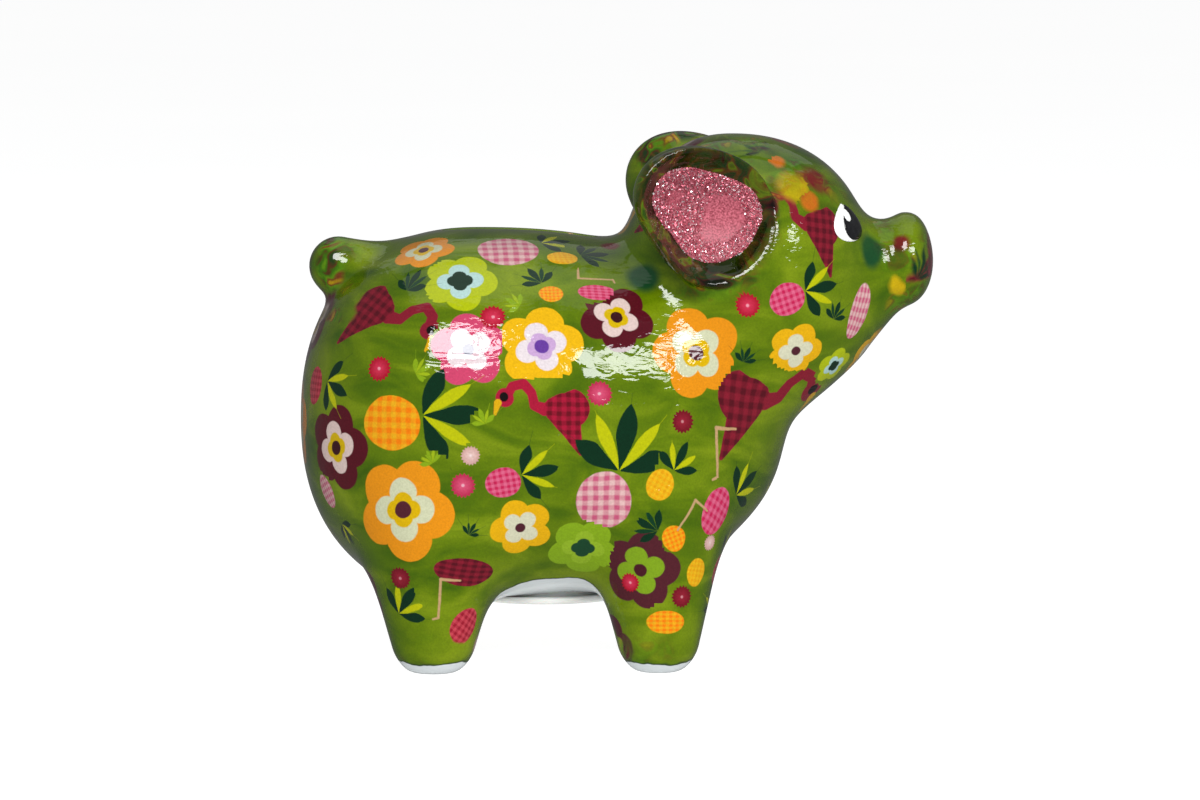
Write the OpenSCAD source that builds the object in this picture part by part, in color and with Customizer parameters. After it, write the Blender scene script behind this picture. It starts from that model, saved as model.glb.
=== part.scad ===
// Ceramic piggy bank: a hollow slip-cast body with luted ears and tail, glitter patches in
// the ears, raised enamel eyes and a soft bung that closes the emptying hole in the belly.
// +X is the way the pig faces, +Z is up, the floor is z = 0. Millimetres.

/* [Trunk] */
// Height of the trunk's middle above the floor
trunk_height = 62.5; // [61:0.5:64]
// How far the trunk's fullest section lies behind the origin
trunk_back = 35; // [33:1:37]
// Reach of the trunk forward from its fullest section
chest_reach = 77.5; // [74:0.5:80]
// Reach of the trunk backward from its fullest section
rump_reach = 45; // [43:0.5:47]
// Width of the body at its fullest section
body_width = 90; // [84:1:94]
// Rise of the back above the trunk's middle
back_rise = 47.9; // [46:0.1:50]
// Drop of the belly below the trunk's middle
belly_drop = 46.5; // [45:0.5:48]
// Thickness of the cast wall
wall = 4; // [3:0.5:5]

/* [Head] */
// Height of the head's middle above the floor
head_height = 100.5; // [99:0.5:102]
// How far the head's middle lies in front of the origin
head_forward = 29; // [27:1:31]
// Reach from the head's middle to the forehead
forehead_reach = 35; // [34:0.5:36]
// Reach from the head's middle to the nape
nape_reach = 27; // [26:0.5:29]
// Half of the head's width
head_half_width = 31.5; // [30:0.5:33]
// Rise of the crown above the head's middle
crown_rise = 33.6; // [32:0.1:34]
// Drop of the jaw below the head's middle
jaw_drop = 40; // [38:0.5:41]
// Radius of the snout where it leaves the face
snout_root_radius = 19.5; // [18:0.5:20]
// Radius of the snout behind its rim
snout_neck_radius = 10.6; // [10:0.1:11]
// Half of the snout rim's width
snout_rim_radius = 12; // [11.5:0.1:12.5]

/* [Legs and tail] */
// Half of the distance between the middles of a left and a right foot
foot_spread = 26; // [24:0.5:28]
// Radius of a foot above its sole
foot_radius = 10.8; // [10:0.1:11.5]
// Radius of a thigh inside the trunk
thigh_radius = 18; // [16:0.5:19]
// Radius of the tail's blunt tip
tail_tip_radius = 7.4; // [6.5:0.1:8]
// Radius of the tail where it leaves the rump
tail_root_radius = 10; // [9:0.5:11]

/* [Ears] */
// Mean radius of an ear's rim
ear_size = 17.3; // [16:0.1:18]
// Depth of the ear's bowl
ear_depth = 9; // [7:0.5:10]
// Thickness of the ear's clay
ear_thickness = 4.4; // [4:0.1:5]
// Turn of the bowl from sideways towards the front, in degrees
ear_yaw = 25; // [20:1:30]
// Thickness of a glitter patch
glitter_thickness = 0.8; // [0.6:0.1:1.2]

/* [Eyes] */
// Width of the white of an eye
eye_width = 9; // [8:0.5:10]
// Height of the white of an eye
eye_height = 10; // [9:0.5:11]
// How far each layer of raised enamel stands above the one below
enamel_rise = 0.6; // [0.5:0.1:0.8]

/* [Coin slot and bung] */
// Length of the coin slot
slot_length = 38; // [34:1:40]
// Width of the coin slot
slot_width = 5; // [4.5:0.5:6]
// Diameter of the emptying hole
hole_diameter = 33; // [28:1:34]
// Radial clearance between the bung's neck and the hole
bung_clearance = 0.05; // [0.02:0.01:0.1]

/* [Hidden] */

GLAZE = "olivedrab";
GLITTER = "palevioletred";

trunk_middle = [-trunk_back, 0, trunk_height];
trunk_reach = [chest_reach, rump_reach, body_width / 2, back_rise, belly_drop];
trunk_power = [2.3, 2.2];
head_middle = [head_forward, 0, head_height];
head_reach = [forehead_reach, nape_reach, head_half_width, crown_rise, jaw_drop];
head_power = [2.2, 2.1];
snout_root = [48, 0, 92.5];
snout_neck = [68.3, 0, 101.3];
rim_middle = [73.2, 0, 102.4];
rim_reach = [6.7, 5, snout_rim_radius, 11.6, 11];
rim_power = [2.3, 2];

// A limb is [upper middle, lower middle], for the pig's right side
hind_leg = [[-46.5, -24, 37], [-46.6, -foot_spread, 9.3]];
fore_leg = [[9, -20, 40], [9.8, 1 - foot_spread, 9.3]];
tail_root = [-58, 0, 96];
tail_tip = [-70.4, 0, 100.8];
leg_hollow_floor = 12;

ear_middle = [20.5, -34, 114.6];
ear_pitch = 4;
ear_lip = ear_thickness / 2;
ear_stretch = 1.06;
glitter_share = 0.86;

eye_middle = [58.4, -16, 112.2];
eye_turn = [18, 0, 58];
pupil_share = 0.62;

slot_middle = -24.5;
slot_floor = 100;
bung_x = -18.5;
hole_radius = hole_diameter / 2;
recess_radius = hole_radius + 3.5;
flange_radius = recess_radius - 0.7;
land_z = 18.2;
land_top = land_z + 4.8;
flange_height = 1.8;
neck_height = 6;
land_radius = hole_radius + 6;

function signed_power(value, power) = sign(value) * pow(abs(value), power);

// One point of a squarish egg: a runs from the front pole to the rear one, b round the axis
function egg_point(reach, power, a, b) =
    let (
        along = signed_power(cos(a), 2 / power[0]),
        out = pow(sin(a), 2 / power[0]),
        side = signed_power(cos(b), 2 / power[1]),
        height = signed_power(sin(b), 2 / power[1])
    )
    [
        along * (along > 0 ? reach[0] : reach[1]),
        out * side * reach[2],
        out * height * (height > 0 ? reach[3] : reach[4])
    ];

// The bands of quadrilaterals that join rings of equal size, with the first and last closed
function ring_faces(rings, sides) =
    [
        for (i = [0 : rings - 2], j = [0 : sides - 1])
            let (k = (j + 1) % sides)
            [i * sides + j, i * sides + k, (i + 1) * sides + k, (i + 1) * sides + j]
    ];

// A squarish egg whose two ends, back and belly each have their own reach
module egg(middle, reach, power, rings, sides) {
    points = [
        for (i = [1 : rings], j = [0 : sides - 1])
            egg_point(reach, power, 180 * i / (rings + 1), -360 * j / sides)
    ];
    front = rings * sides;
    rear = front + 1;
    last = (rings - 1) * sides;
    translate(middle)
        polyhedron(
            concat(points, [[reach[0], 0, 0], [-reach[1], 0, 0]]),
            concat(
                [for (f = ring_faces(rings, sides)) [f[3], f[2], f[1], f[0]]],
                [for (j = [0 : sides - 1]) [front, j, (j + 1) % sides]],
                [for (j = [0 : sides - 1]) [rear, last + (j + 1) % sides, last + j]]
            ),
            convexity = 4
        );
}

// Two balls and the cone that is tangent to both
module limb(from, to, from_radius, to_radius, sides) {
    way = to - from;
    reach = norm(way);
    lean = asin((from_radius - to_radius) / reach);
    steps = sides / 4;
    start = [for (i = [0 : steps]) let (a = -90 + i * (lean + 90) / steps)
        [from_radius * cos(a), from_radius * sin(a)]];
    end = [for (i = [0 : steps]) let (a = lean + i * (90 - lean) / steps)
        [to_radius * cos(a), reach + to_radius * sin(a)]];
    translate(from)
        rotate([0, acos(way[2] / reach), atan2(way[1], way[0])])
            rotate_extrude($fn = sides)
                polygon(concat(start, end));
}

module both_sides() {
    children();
    mirror([0, 1, 0]) children();
}

module body_skin() {
    egg(trunk_middle, trunk_reach, trunk_power, 34, 40);
    egg(head_middle, head_reach, head_power, 27, 34);
    egg(rim_middle, rim_reach, rim_power, 14, 28);
    limb(snout_root, snout_neck, snout_root_radius, snout_neck_radius, 32);
    both_sides() {
        limb(hind_leg[0], hind_leg[1], thigh_radius + 1, foot_radius, 24);
        limb(fore_leg[0], fore_leg[1], thigh_radius, foot_radius, 24);
    }
}

// Everything under the floor, which cuts the soles flat
module below_floor() {
    translate([-100, -60, -20]) cube([200, 120, 20]);
}

module on_ear() {
    translate(ear_middle) rotate([90 + ear_pitch, 0, ear_yaw]) children();
}

// Distance from the ear's middle to its rim at an angle: broad behind, pointed below the front
function ear_rim(angle) =
    ear_size * (1 + 0.095 * cos(angle - 65) + 0.085 * cos(2 * (angle + 49)) + 0.055 * cos(3 * (angle - 26)));

// A ring of the ear: its share of the way out to the rim less an inset, and its height there
function ear_ring(share, inset, height, sides) =
    [
        for (j = [0 : sides - 1])
            let (a = 360 * j / sides, r = share * (ear_rim(a) - inset))
            [ear_stretch * r * cos(a), r * sin(a), height]
    ];

function bowl_height(share) = ear_depth * (share * share - 1);

// A closed stack of ear rings, from the lowest middle point to the highest
module ear_stack(rings, low, high, sides) {
    count = len(rings);
    low_pole = count * sides;
    last = (count - 1) * sides;
    polyhedron(
        concat([for (r = rings) each r], [[0, 0, low], [0, 0, high]]),
        concat(
            [for (f = ring_faces(count, sides)) [f[3], f[2], f[1], f[0]]],
            [for (j = [0 : sides - 1]) [low_pole, j, (j + 1) % sides]],
            [for (j = [0 : sides - 1]) [low_pole + 1, last + (j + 1) % sides, last + j]]
        ),
        convexity = 6
    );
}

// The bowl with a rolled rim. extra thickens its back, for the clay behind it
module ear_bowl(extra = 0, sides = 36) {
    steps = 7;
    nose = 5;
    back = -ear_lip - extra;
    rings = concat(
        [for (i = [1 : steps]) ear_ring(i / steps, ear_lip, bowl_height(i / steps) + back, sides)],
        [for (i = [1 : nose - 1]) let (a = -90 + 180 * i / nose)
            ear_ring(1, ear_lip * (1 - cos(a)), ear_lip * sin(a) + (i * 2 < nose ? -extra : 0), sides)],
        [for (i = [steps : -1 : 1]) ear_ring(i / steps, ear_lip, bowl_height(i / steps) + ear_lip, sides)]
    );
    ear_stack(rings, back - ear_depth, ear_lip - ear_depth, sides);
}

// The seat that the bowl's back and the space in front of it take out of the head
module ear_seat(sides = 36) {
    steps = 7;
    nose = 5;
    open_height = 16;
    rings = concat(
        [for (i = [1 : steps]) ear_ring(i / steps, ear_lip, bowl_height(i / steps) - ear_lip, sides)],
        [for (i = [1 : floor(nose / 2)]) let (a = -90 + 180 * i / nose)
            ear_ring(1, ear_lip * (1 - cos(a)), ear_lip * sin(a), sides)],
        [ear_ring(1, 0, 0, sides), ear_ring(1, 0, open_height, sides)]
    );
    ear_stack(rings, -ear_lip - ear_depth, open_height, sides);
}

module ear() {
    on_ear() ear_bowl();
}

module glitter_patch() {
    steps = 6;
    sides = 36;
    shares = [for (i = [1 : steps]) glitter_share * i / steps];
    rings = concat(
        [for (s = shares) ear_ring(s, ear_lip, bowl_height(s) + ear_lip, sides)],
        [for (i = [steps - 1 : -1 : 0])
            ear_ring(shares[i] * 0.98, ear_lip, bowl_height(shares[i]) + ear_lip + glitter_thickness, sides)]
    );
    on_ear() ear_stack(rings, ear_lip - ear_depth, ear_lip - ear_depth + glitter_thickness, sides);
}

// Hollow of the casting: it follows the outside one wall deep, behind the ears too
module cavity() {
    difference() {
        union() {
            egg(trunk_middle, [for (r = trunk_reach) r - wall], trunk_power, 26, 28);
            egg(head_middle, [for (r = head_reach) r - wall - 1], head_power, 18, 24);
            both_sides() {
                limb(hind_leg[0], [hind_leg[1][0], hind_leg[1][1], leg_hollow_floor],
                    thigh_radius - wall, foot_radius - wall, 16);
                limb(fore_leg[0], [fore_leg[1][0], fore_leg[1][1], leg_hollow_floor],
                    thigh_radius - wall - 1, foot_radius - wall, 16);
            }
        }
        both_sides() on_ear() ear_bowl(wall, 24);
        translate([bung_x, 0, 0]) cylinder(r = land_radius, h = land_top, $fn = 48);
    }
}

module coin_slot() {
    straight = slot_length - slot_width;
    translate([slot_middle, 0, slot_floor]) {
        translate([-straight / 2, -slot_width / 2, 0]) cube([straight, slot_width, 20]);
        for (end = [-1, 1])
            translate([end * straight / 2, 0, 0]) cylinder(d = slot_width, h = 20, $fn = 32);
    }
}

module body_shell() {
    color(GLAZE)
        difference() {
            resize([0, 0, 0])
                difference() {
                    body_skin();
                    cavity();
                    both_sides() on_ear() ear_seat();
                    coin_slot();
                    translate([bung_x, 0, 0]) cylinder(r = recess_radius, h = land_z, $fn = 72);
                    below_floor();
                }
            translate([bung_x, 0, 5]) cylinder(r = hole_radius, h = land_top, $fn = 96);
        }
}

module right_ear() {
    color(GLAZE) ear();
}

module left_ear() {
    color(GLAZE) mirror([0, 1, 0]) ear();
}

module tail() {
    color(GLAZE)
        resize([0, 0, 0])
            difference() {
                limb(tail_root, tail_tip, tail_root_radius, tail_tip_radius, 32);
                egg(trunk_middle, trunk_reach, trunk_power, 34, 40);
            }
}

module right_ear_glitter() {
    color(GLITTER) glitter_patch();
}

module left_ear_glitter() {
    color(GLITTER) mirror([0, 1, 0]) glitter_patch();
}

// A drop outline, pointed at the top
function drop_outline(width, height, sides = 28) =
    [
        for (j = [0 : sides - 1])
            let (a = 360 * j / sides)
            [0.65 * width * sin(a) * pow(sin(a / 2), 1.2), height / 2 * cos(a)]
    ];

// The face with its skin moved out by rise
module raised_face(rise) {
    egg(head_middle, [for (r = head_reach) r + rise], head_power, 27, 34);
    limb(snout_root, snout_neck, snout_root_radius + rise, snout_neck_radius + rise, 32);
}

// One layer of raised enamel: the skin between two rises, cut to a drop
module enamel_drop(low, high, share, shift) {
    resize([0, 0, 0])
        difference() {
            intersection() {
                raised_face(high);
                translate(eye_middle) rotate([90 - eye_turn[0], 0, eye_turn[2]])
                    translate([shift[0], shift[1], -8])
                        linear_extrude(16)
                            polygon(drop_outline(eye_width * share, eye_height * (share + 1) / 2));
            }
            raised_face(low);
        }
}

module right_eye() {
    color("white") enamel_drop(0, enamel_rise, 1, [0, 0]);
}

module left_eye() {
    color("white") mirror([0, 1, 0]) enamel_drop(0, enamel_rise, 1, [0, 0]);
}

module right_pupil() {
    color("black") enamel_drop(enamel_rise, 2 * enamel_rise, pupil_share, [0.3, -0.2]);
}

module left_pupil() {
    color("black") mirror([0, 1, 0]) enamel_drop(enamel_rise, 2 * enamel_rise, pupil_share, [0.3, -0.2]);
}

module stopper() {
    tab_width = 14;
    tab_height = 1.2;
    color("whitesmoke")
        translate([bung_x, 0, land_z - flange_height])
            difference() {
                union() {
                    cylinder(r = flange_radius, h = flange_height, $fn = 96);
                    cylinder(r = hole_radius - bung_clearance, h = flange_height + neck_height, $fn = 96);
                    translate([0, 0, -tab_height / 2]) cylinder(d = tab_width, h = tab_height, $fn = 48);
                }
                translate([0, 0, flange_height + 1.2])
                    cylinder(r = hole_radius - 3, h = neck_height, $fn = 64);
            }
}

body_shell();
right_ear();
left_ear();
tail();
right_ear_glitter();
left_ear_glitter();
right_eye();
left_eye();
right_pupil();
left_pupil();
stopper();
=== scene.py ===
"""Looks for the ceramic piggy bank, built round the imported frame.

The pig faces +X, +Z is up and the floor is z = 0. Shapes are worked out in millimetres and
turned to metres when their meshes are made. The skin is one smooth distance function: slip
cast trunk, head and legs, luted ears and tail, coin slot and bung seat.
"""
import math

import bmesh
import bpy
import numpy as np
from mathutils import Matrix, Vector


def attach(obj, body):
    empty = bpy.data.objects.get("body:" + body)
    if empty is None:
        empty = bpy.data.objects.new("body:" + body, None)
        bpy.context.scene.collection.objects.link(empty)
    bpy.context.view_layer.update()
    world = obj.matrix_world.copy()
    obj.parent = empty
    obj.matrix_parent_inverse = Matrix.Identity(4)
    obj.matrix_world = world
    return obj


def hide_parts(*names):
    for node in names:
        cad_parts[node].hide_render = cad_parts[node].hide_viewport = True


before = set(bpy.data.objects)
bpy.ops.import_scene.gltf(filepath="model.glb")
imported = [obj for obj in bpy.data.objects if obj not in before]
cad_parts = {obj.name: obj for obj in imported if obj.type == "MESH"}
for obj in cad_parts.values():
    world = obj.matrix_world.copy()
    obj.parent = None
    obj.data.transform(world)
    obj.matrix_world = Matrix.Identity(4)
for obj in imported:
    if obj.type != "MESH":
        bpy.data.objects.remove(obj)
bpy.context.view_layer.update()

MM = 0.001
SEED = 11

# ---------------------------------------------------------------------------
# Sizes of the bank, in millimetres: the frame's own, or within a millimetre of them
# ---------------------------------------------------------------------------
# A squashed egg is its middle, its reach (front, rear, side, up, down) and its two powers
TRUNK = ((-35, 0, 62.5), (77.5, 45, 45, 47.9, 46.5), (2.3, 2.2))
HEAD = ((29, 0, 100.5), (35, 27, 31.5, 33.6, 40), (2.2, 2.1))
SNOUT_RIM = ((73.2, 0, 102.4), (6, 5, 12, 11.6, 11), (2.3, 2))
# A limb is its two middles and its two radii, on the pig's right side
SNOUT = ((48, 0, 92.5), (68.3, 0, 101.6), 19.5, 10.4)
HIND_LEG = ((-46.5, -24, 37), (-46.6, -26, 9.4), 18.6, 10.8)
FORE_LEG = ((9.3, -20, 40), (9.8, -25, 9.3), 18, 10.5)
TAIL = ((-58, 0, 96), (-70.4, 0, 100.8), 10, 7.4)
# How far the middles of the closing fans lie inside the clay
TAIL_PULL = np.array((1.0, 0, -0.5))
TAIL_STARTS = -50.0
EAR_PULL = 6.0
WALL = 4.0
LEG_HOLLOW_FLOOR = 12.0
SOLE_BAND = 3.0

EAR_MIDDLE = np.array((20.5, -34.0, 114.6))
EAR_YAW = math.radians(25)
EAR_PITCH = math.radians(4)
EAR_SIZE = 17.3
EAR_STRETCH = 1.06
EAR_DEPTH = 9.0
EAR_LIP = 2.2

SLOT_X = -24.5
SLOT_LENGTH = 38.0
SLOT_WIDTH = 5.0
SLOT_FLOOR = 98.0
BUNG_X = -18.5
HOLE_RADIUS = 16.5
RECESS_RADIUS = 20.0
LAND_Z = 18.2
LAND_TOP = 23.0
LAND_RADIUS = 22.5


# ---------------------------------------------------------------------------
# Distance functions
# ---------------------------------------------------------------------------
def egg_distance(points, middle, reach, power):
    """Distance, to first order, to a squashed egg."""
    x, y, z = (points - np.array(middle)).T
    front, rear, side, up, down = reach
    along, across = power
    length = np.where(x > 0, front, rear)
    height = np.where(z > 0, up, down)
    tx = np.abs(x) / length
    ty = np.abs(y) / side
    tz = np.abs(z) / height
    tiny = 1e-9
    ring = (ty**across + tz**across + tiny) ** (1 / across)
    size = (tx**along + ring**along + tiny) ** (1 / along)
    inward = size ** (1 - along)
    slope_x = inward * tx ** (along - 1) / length
    slope_ring = inward * ring ** (along - across)
    slope_y = slope_ring * ty ** (across - 1) / side
    slope_z = slope_ring * tz ** (across - 1) / height
    slope = np.sqrt(slope_x**2 + slope_y**2 + slope_z**2)
    return (size - 1) / np.maximum(slope, 1e-4)


def limb_distance(points, start, end, start_radius, end_radius):
    """Distance to two balls joined by the cone that is tangent to both."""
    start = np.array(start, float)
    way = np.array(end, float) - start
    reach2 = way @ way
    fall = start_radius - end_radius
    side2 = reach2 - fall * fall
    offset = points - start
    along = offset @ way
    beyond = along - reach2
    across = offset * reach2 - along[:, None] * way
    across2 = (across * across).sum(1)
    limit = np.sign(fall) * fall * fall * across2
    at_end = np.sqrt(across2 + beyond * beyond * reach2) / reach2 - end_radius
    at_start = np.sqrt(across2 + along * along * reach2) / reach2 - start_radius
    on_cone = (np.sqrt(across2 * side2 / reach2) + along * fall) / reach2 - start_radius
    past_end = np.sign(beyond) * side2 * beyond * beyond * reach2 > limit
    before_start = np.sign(along) * side2 * along * along * reach2 < limit
    return np.where(past_end, at_end, np.where(before_start, at_start, on_cone))


def join(a, b, blend):
    """Union of two distances with a fillet of that blend."""
    near = np.maximum(blend - np.abs(a - b), 0) / blend
    return np.minimum(a, b) - near**3 * blend / 6


def cut(a, b, blend):
    """a less everything where b is negative, with the edge rounded."""
    return -join(-a, b, blend)


def on_right(points):
    """Points mirrored to the pig's right side, which is y < 0."""
    folded = points.copy()
    folded[:, 1] = -np.abs(folded[:, 1])
    return folded


def ear_axes():
    """The ear's own axes: towards its front, upwards, and out of its bowl."""
    out = np.array((
        math.sin(EAR_YAW) * math.cos(EAR_PITCH),
        -math.cos(EAR_YAW) * math.cos(EAR_PITCH),
        -math.sin(EAR_PITCH),
    ))
    front = np.array((math.cos(EAR_YAW), math.sin(EAR_YAW), 0.0))
    return front, np.cross(out, front), out


def ear_rim(angle):
    """Distance from the ear's middle to its rim: broad behind, pointed below the front."""
    return EAR_SIZE * (
        1
        + 0.095 * np.cos(angle - math.radians(65))
        + 0.085 * np.cos(2 * (angle + math.radians(49)))
        + 0.055 * np.cos(3 * (angle - math.radians(26)))
    )


def ear_place(points):
    """Height over the rim's plane, share of the way out to the rim, and distance to the rim."""
    front, up, out = ear_axes()
    local = points - EAR_MIDDLE
    a = local @ front / EAR_STRETCH
    b = local @ up
    rim = ear_rim(np.arctan2(b, a))
    reach = np.hypot(a, b)
    return local @ out, reach / rim, reach - rim


def ear_distances(points):
    """Distances to the ear's bowl and to the open air in front of it."""
    height, share, past_rim = ear_place(points)
    lean = np.sqrt(1 + (2 * EAR_DEPTH * share / EAR_SIZE) ** 2)
    from_sheet = (height - EAR_DEPTH * (share**2 - 1)) / lean
    bowl = cut(np.abs(from_sheet) - EAR_LIP, -past_rim, 3.0)
    air = -join(from_sheet + 1.0, -past_rim - 1.0, 3.0)
    air = np.maximum(air, height - 9.0)
    return bowl, air


def base_distance(points):
    """Trunk, head, snout and legs."""
    return smooth_body(points, 0.0, True)


def smooth_body(points, inset, with_snout):
    """The cast body, or the same moved inwards by inset."""
    def inner(egg, less):
        middle, reach, power = egg
        return middle, tuple(r - less for r in reach), power

    shape = join(
        egg_distance(points, *inner(TRUNK, inset)),
        egg_distance(points, *inner(HEAD, inset * 1.25)),
        13,
    )
    if with_snout:
        shape = join(shape, limb_distance(points, *SNOUT), 9)
        shape = join(shape, egg_distance(points, *SNOUT_RIM), 6)
    for leg, fillet in ((HIND_LEG, 13), (FORE_LEG, 13)):
        top, foot, top_radius, foot_radius = leg
        if inset:
            foot = (foot[0], foot[1], LEG_HOLLOW_FLOOR)
        legs = limb_distance(points, top, foot, top_radius - inset, foot_radius - inset)
        shape = join(shape, legs, fillet)
    return shape


def skin_parts(points):
    """Distances to the carved head and body, to the tail, to the ears and to all of them."""
    folded = on_right(points)
    base = base_distance(folded)
    bowl, air = ear_distances(folded)
    base = cut(base, air, 2.5)
    tail = limb_distance(folded, *TAIL)
    whole = join(join(base, tail, 7), bowl, 5)
    return base, tail, bowl, cut(whole, points[:, 2], 2.0)


def slot_outline(points):
    straight = (SLOT_LENGTH - SLOT_WIDTH) / 2
    past_end = np.maximum(np.abs(points[:, 0] - SLOT_X) - straight, 0)
    return np.hypot(past_end, points[:, 1]) - SLOT_WIDTH / 2


def bung_reach(points):
    return np.hypot(points[:, 0] - BUNG_X, points[:, 1])


def skin_distance(points):
    """The whole outside, with the coin slot and the bung's seat sunk into it."""
    whole = skin_parts(points)[3]
    z = points[:, 2]
    slot = np.maximum(slot_outline(points), SLOT_FLOOR - z)
    whole = cut(whole, slot, 1.8)
    reach = bung_reach(points)
    recess = np.maximum(reach - RECESS_RADIUS, z - LAND_Z)
    whole = cut(whole, recess, 1.2)
    hole = np.maximum(reach - HOLE_RADIUS, z - LAND_TOP - 4)
    return cut(whole, hole, 0.5)


def hollow_distance(points):
    """The casting's hollow, one wall inside the skin and clear of the ears and the land."""
    folded = on_right(points)
    inside = smooth_body(folded, WALL, False)
    bowl, _ = ear_distances(folded)
    inside = cut(inside, bowl - WALL, 3.0)
    land = np.maximum(bung_reach(points) - LAND_RADIUS, points[:, 2] - LAND_TOP)
    return cut(inside, land, 1.0)


def slope_of(distance, points, step=0.02):
    """Gradient of a distance function."""
    slope = np.empty_like(points)
    for axis in range(3):
        shift = np.zeros(3)
        shift[axis] = step
        slope[:, axis] = (distance(points + shift) - distance(points - shift)) / (2 * step)
    return slope


def settle(distance, points, rounds=3, longest=0.6):
    """Points moved onto the zero level of a distance function."""
    for _ in range(rounds):
        slope = slope_of(distance, points)
        level = distance(points)
        scale = level / np.maximum((slope**2).sum(1), 0.05)
        move = slope * scale[:, None]
        size = np.linalg.norm(move, axis=1)
        points = points - move * np.minimum(1, longest / np.maximum(size, 1e-9))[:, None]
    return points


def unit(vectors):
    return vectors / np.maximum(np.linalg.norm(vectors, axis=-1, keepdims=True), 1e-12)


# ---------------------------------------------------------------------------
# Meshes from distance functions
# ---------------------------------------------------------------------------
def lattice(distance, low, high, step):
    """Values of a distance that is the same left and right, on a grid centred on y = 0."""
    xs = np.arange(low[0], high[0], step)
    ys = np.arange(-step / 2, -high[1], -step)[::-1]
    zs = np.arange(low[2], high[2], step)
    grid = np.stack(np.meshgrid(xs, ys, zs, indexing="ij"), -1).reshape(-1, 3)
    half = np.concatenate([distance(part) for part in np.array_split(grid, 24)])
    half = half.reshape(len(xs), len(ys), len(zs))
    return np.concatenate([half, half[:, ::-1]], axis=1), np.array((xs[0], ys[0], zs[0]))


def surface_net(values, low, step):
    """Points and four-sided faces of a grid's zero level, one point in each crossed cell."""
    inside = values < 0
    corner = [
        inside[a:a + values.shape[0] - 1, b:b + values.shape[1] - 1, c:c + values.shape[2] - 1]
        for a in (0, 1) for b in (0, 1) for c in (0, 1)
    ]
    count = sum(c.astype(np.int8) for c in corner)
    crossed = (count > 0) & (count < 8)
    where = np.argwhere(crossed)
    total = np.zeros((len(where), 3))
    hits = np.zeros(len(where))
    for axis in range(3):
        for first in (0, 1):
            for second in (0, 1):
                start = np.zeros(3, int)
                start[(axis + 1) % 3] = first
                start[(axis + 2) % 3] = second
                end = start.copy()
                end[axis] = 1
                a = values[tuple((where + start).T)]
                b = values[tuple((where + end).T)]
                hit = (a < 0) != (b < 0)
                share = np.where(hit, a / np.where(hit, a - b, 1), 0)
                spot = where + start
                spot = spot + share[:, None] * (end - start)
                total += spot * hit[:, None]
                hits += hit
    points = low + step * total / hits[:, None]
    index = np.full(crossed.shape, -1)
    index[tuple(where.T)] = np.arange(len(where))
    faces = []
    for axis in range(3):
        one, two = (axis + 1) % 3, (axis + 2) % 3
        flags = np.moveaxis(inside, (axis, one, two), (0, 1, 2))
        cells = np.moveaxis(index, (axis, one, two), (0, 1, 2))
        lower = flags[:-1, 1:-1, 1:-1]
        upper = flags[1:, 1:-1, 1:-1]
        edges = np.argwhere(lower != upper)
        i, j, k = edges.T
        quads = np.stack([
            cells[i, j, k],
            cells[i, j + 1, k],
            cells[i, j + 1, k + 1],
            cells[i, j, k + 1],
        ], 1)
        outward = lower[i, j, k]
        quads[~outward] = quads[~outward][:, ::-1]
        faces.append(quads)
    return points, np.concatenate(faces)


def relax(distance, points, faces, rounds):
    """Evens out the spacing of a mesh's points along its surface."""
    ends = np.concatenate([faces[:, (i, (i + 1) % 4)] for i in range(4)])
    start = np.concatenate([ends[:, 0], ends[:, 1]])
    end = np.concatenate([ends[:, 1], ends[:, 0]])
    uses = np.bincount(start, minlength=len(points))
    for _ in range(rounds):
        mean = np.stack([
            np.bincount(start, points[end, axis], len(points)) for axis in range(3)
        ], 1) / uses[:, None]
        normal = unit(slope_of(distance, points))
        move = mean - points
        move -= (move * normal).sum(1, keepdims=True) * normal
        points = settle(distance, points + 0.6 * move, 1)
    return points


def bmesh_from(points, faces):
    mesh = bmesh.new()
    verts = [mesh.verts.new(p) for p in points]
    for face in faces:
        mesh.faces.new([verts[i] for i in face])
    mesh.verts.ensure_lookup_table()
    mesh.faces.ensure_lookup_table()
    return mesh


def arrays_of(mesh):
    mesh.verts.index_update()
    points = np.array([v.co[:] for v in mesh.verts])
    faces = [[v.index for v in f.verts] for f in mesh.faces]
    return points, faces


def plain_object(name, points, faces):
    """A smooth-shaded object at the origin from points in millimetres."""
    data = bpy.data.meshes.new(name)
    data.from_pydata((np.asarray(points) * MM).tolist(), [], [list(map(int, f)) for f in faces])
    data.update()
    data.polygons.foreach_set("use_smooth", np.ones(len(data.polygons), bool))
    made = bpy.data.objects.new(name, data)
    bpy.context.scene.collection.objects.link(made)
    return made


def scored(mesh, values):
    """Splits a mesh's edges where values changes sign, and joins the cuts across its faces."""
    cuts = []
    for edge in list(mesh.edges):
        a, b = edge.verts
        start, end = values[a.index], values[b.index]
        if (start < 0) != (end < 0):
            share = min(0.95, max(0.05, start / (start - end)))
            cuts.append(bmesh.utils.edge_split(edge, a, share)[1])
    bmesh.ops.connect_verts(mesh, verts=cuts)
    mesh.verts.index_update()


def capped(points, faces, pull):
    """Closes each open rim of a mesh with a fan whose middle is moved by pull."""
    ends = dict.fromkeys(
        (a, b) for face in faces for a, b in zip(face, face[1:] + face[:1])
    )
    after = {b: a for (a, b) in ends if (b, a) not in ends}
    points = list(map(np.array, points))
    faces = list(faces)
    while after:
        first = next(iter(after))
        loop = [first]
        while after[loop[-1]] != first:
            loop.append(after[loop[-1]])
        for corner in loop:
            after.pop(corner)
        points.append(np.mean([points[i] for i in loop], axis=0) + pull)
        middle = len(points) - 1
        for a, b in zip(loop, loop[1:] + loop[:1]):
            faces.append([a, b, middle])
    return np.array(points), faces


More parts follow.
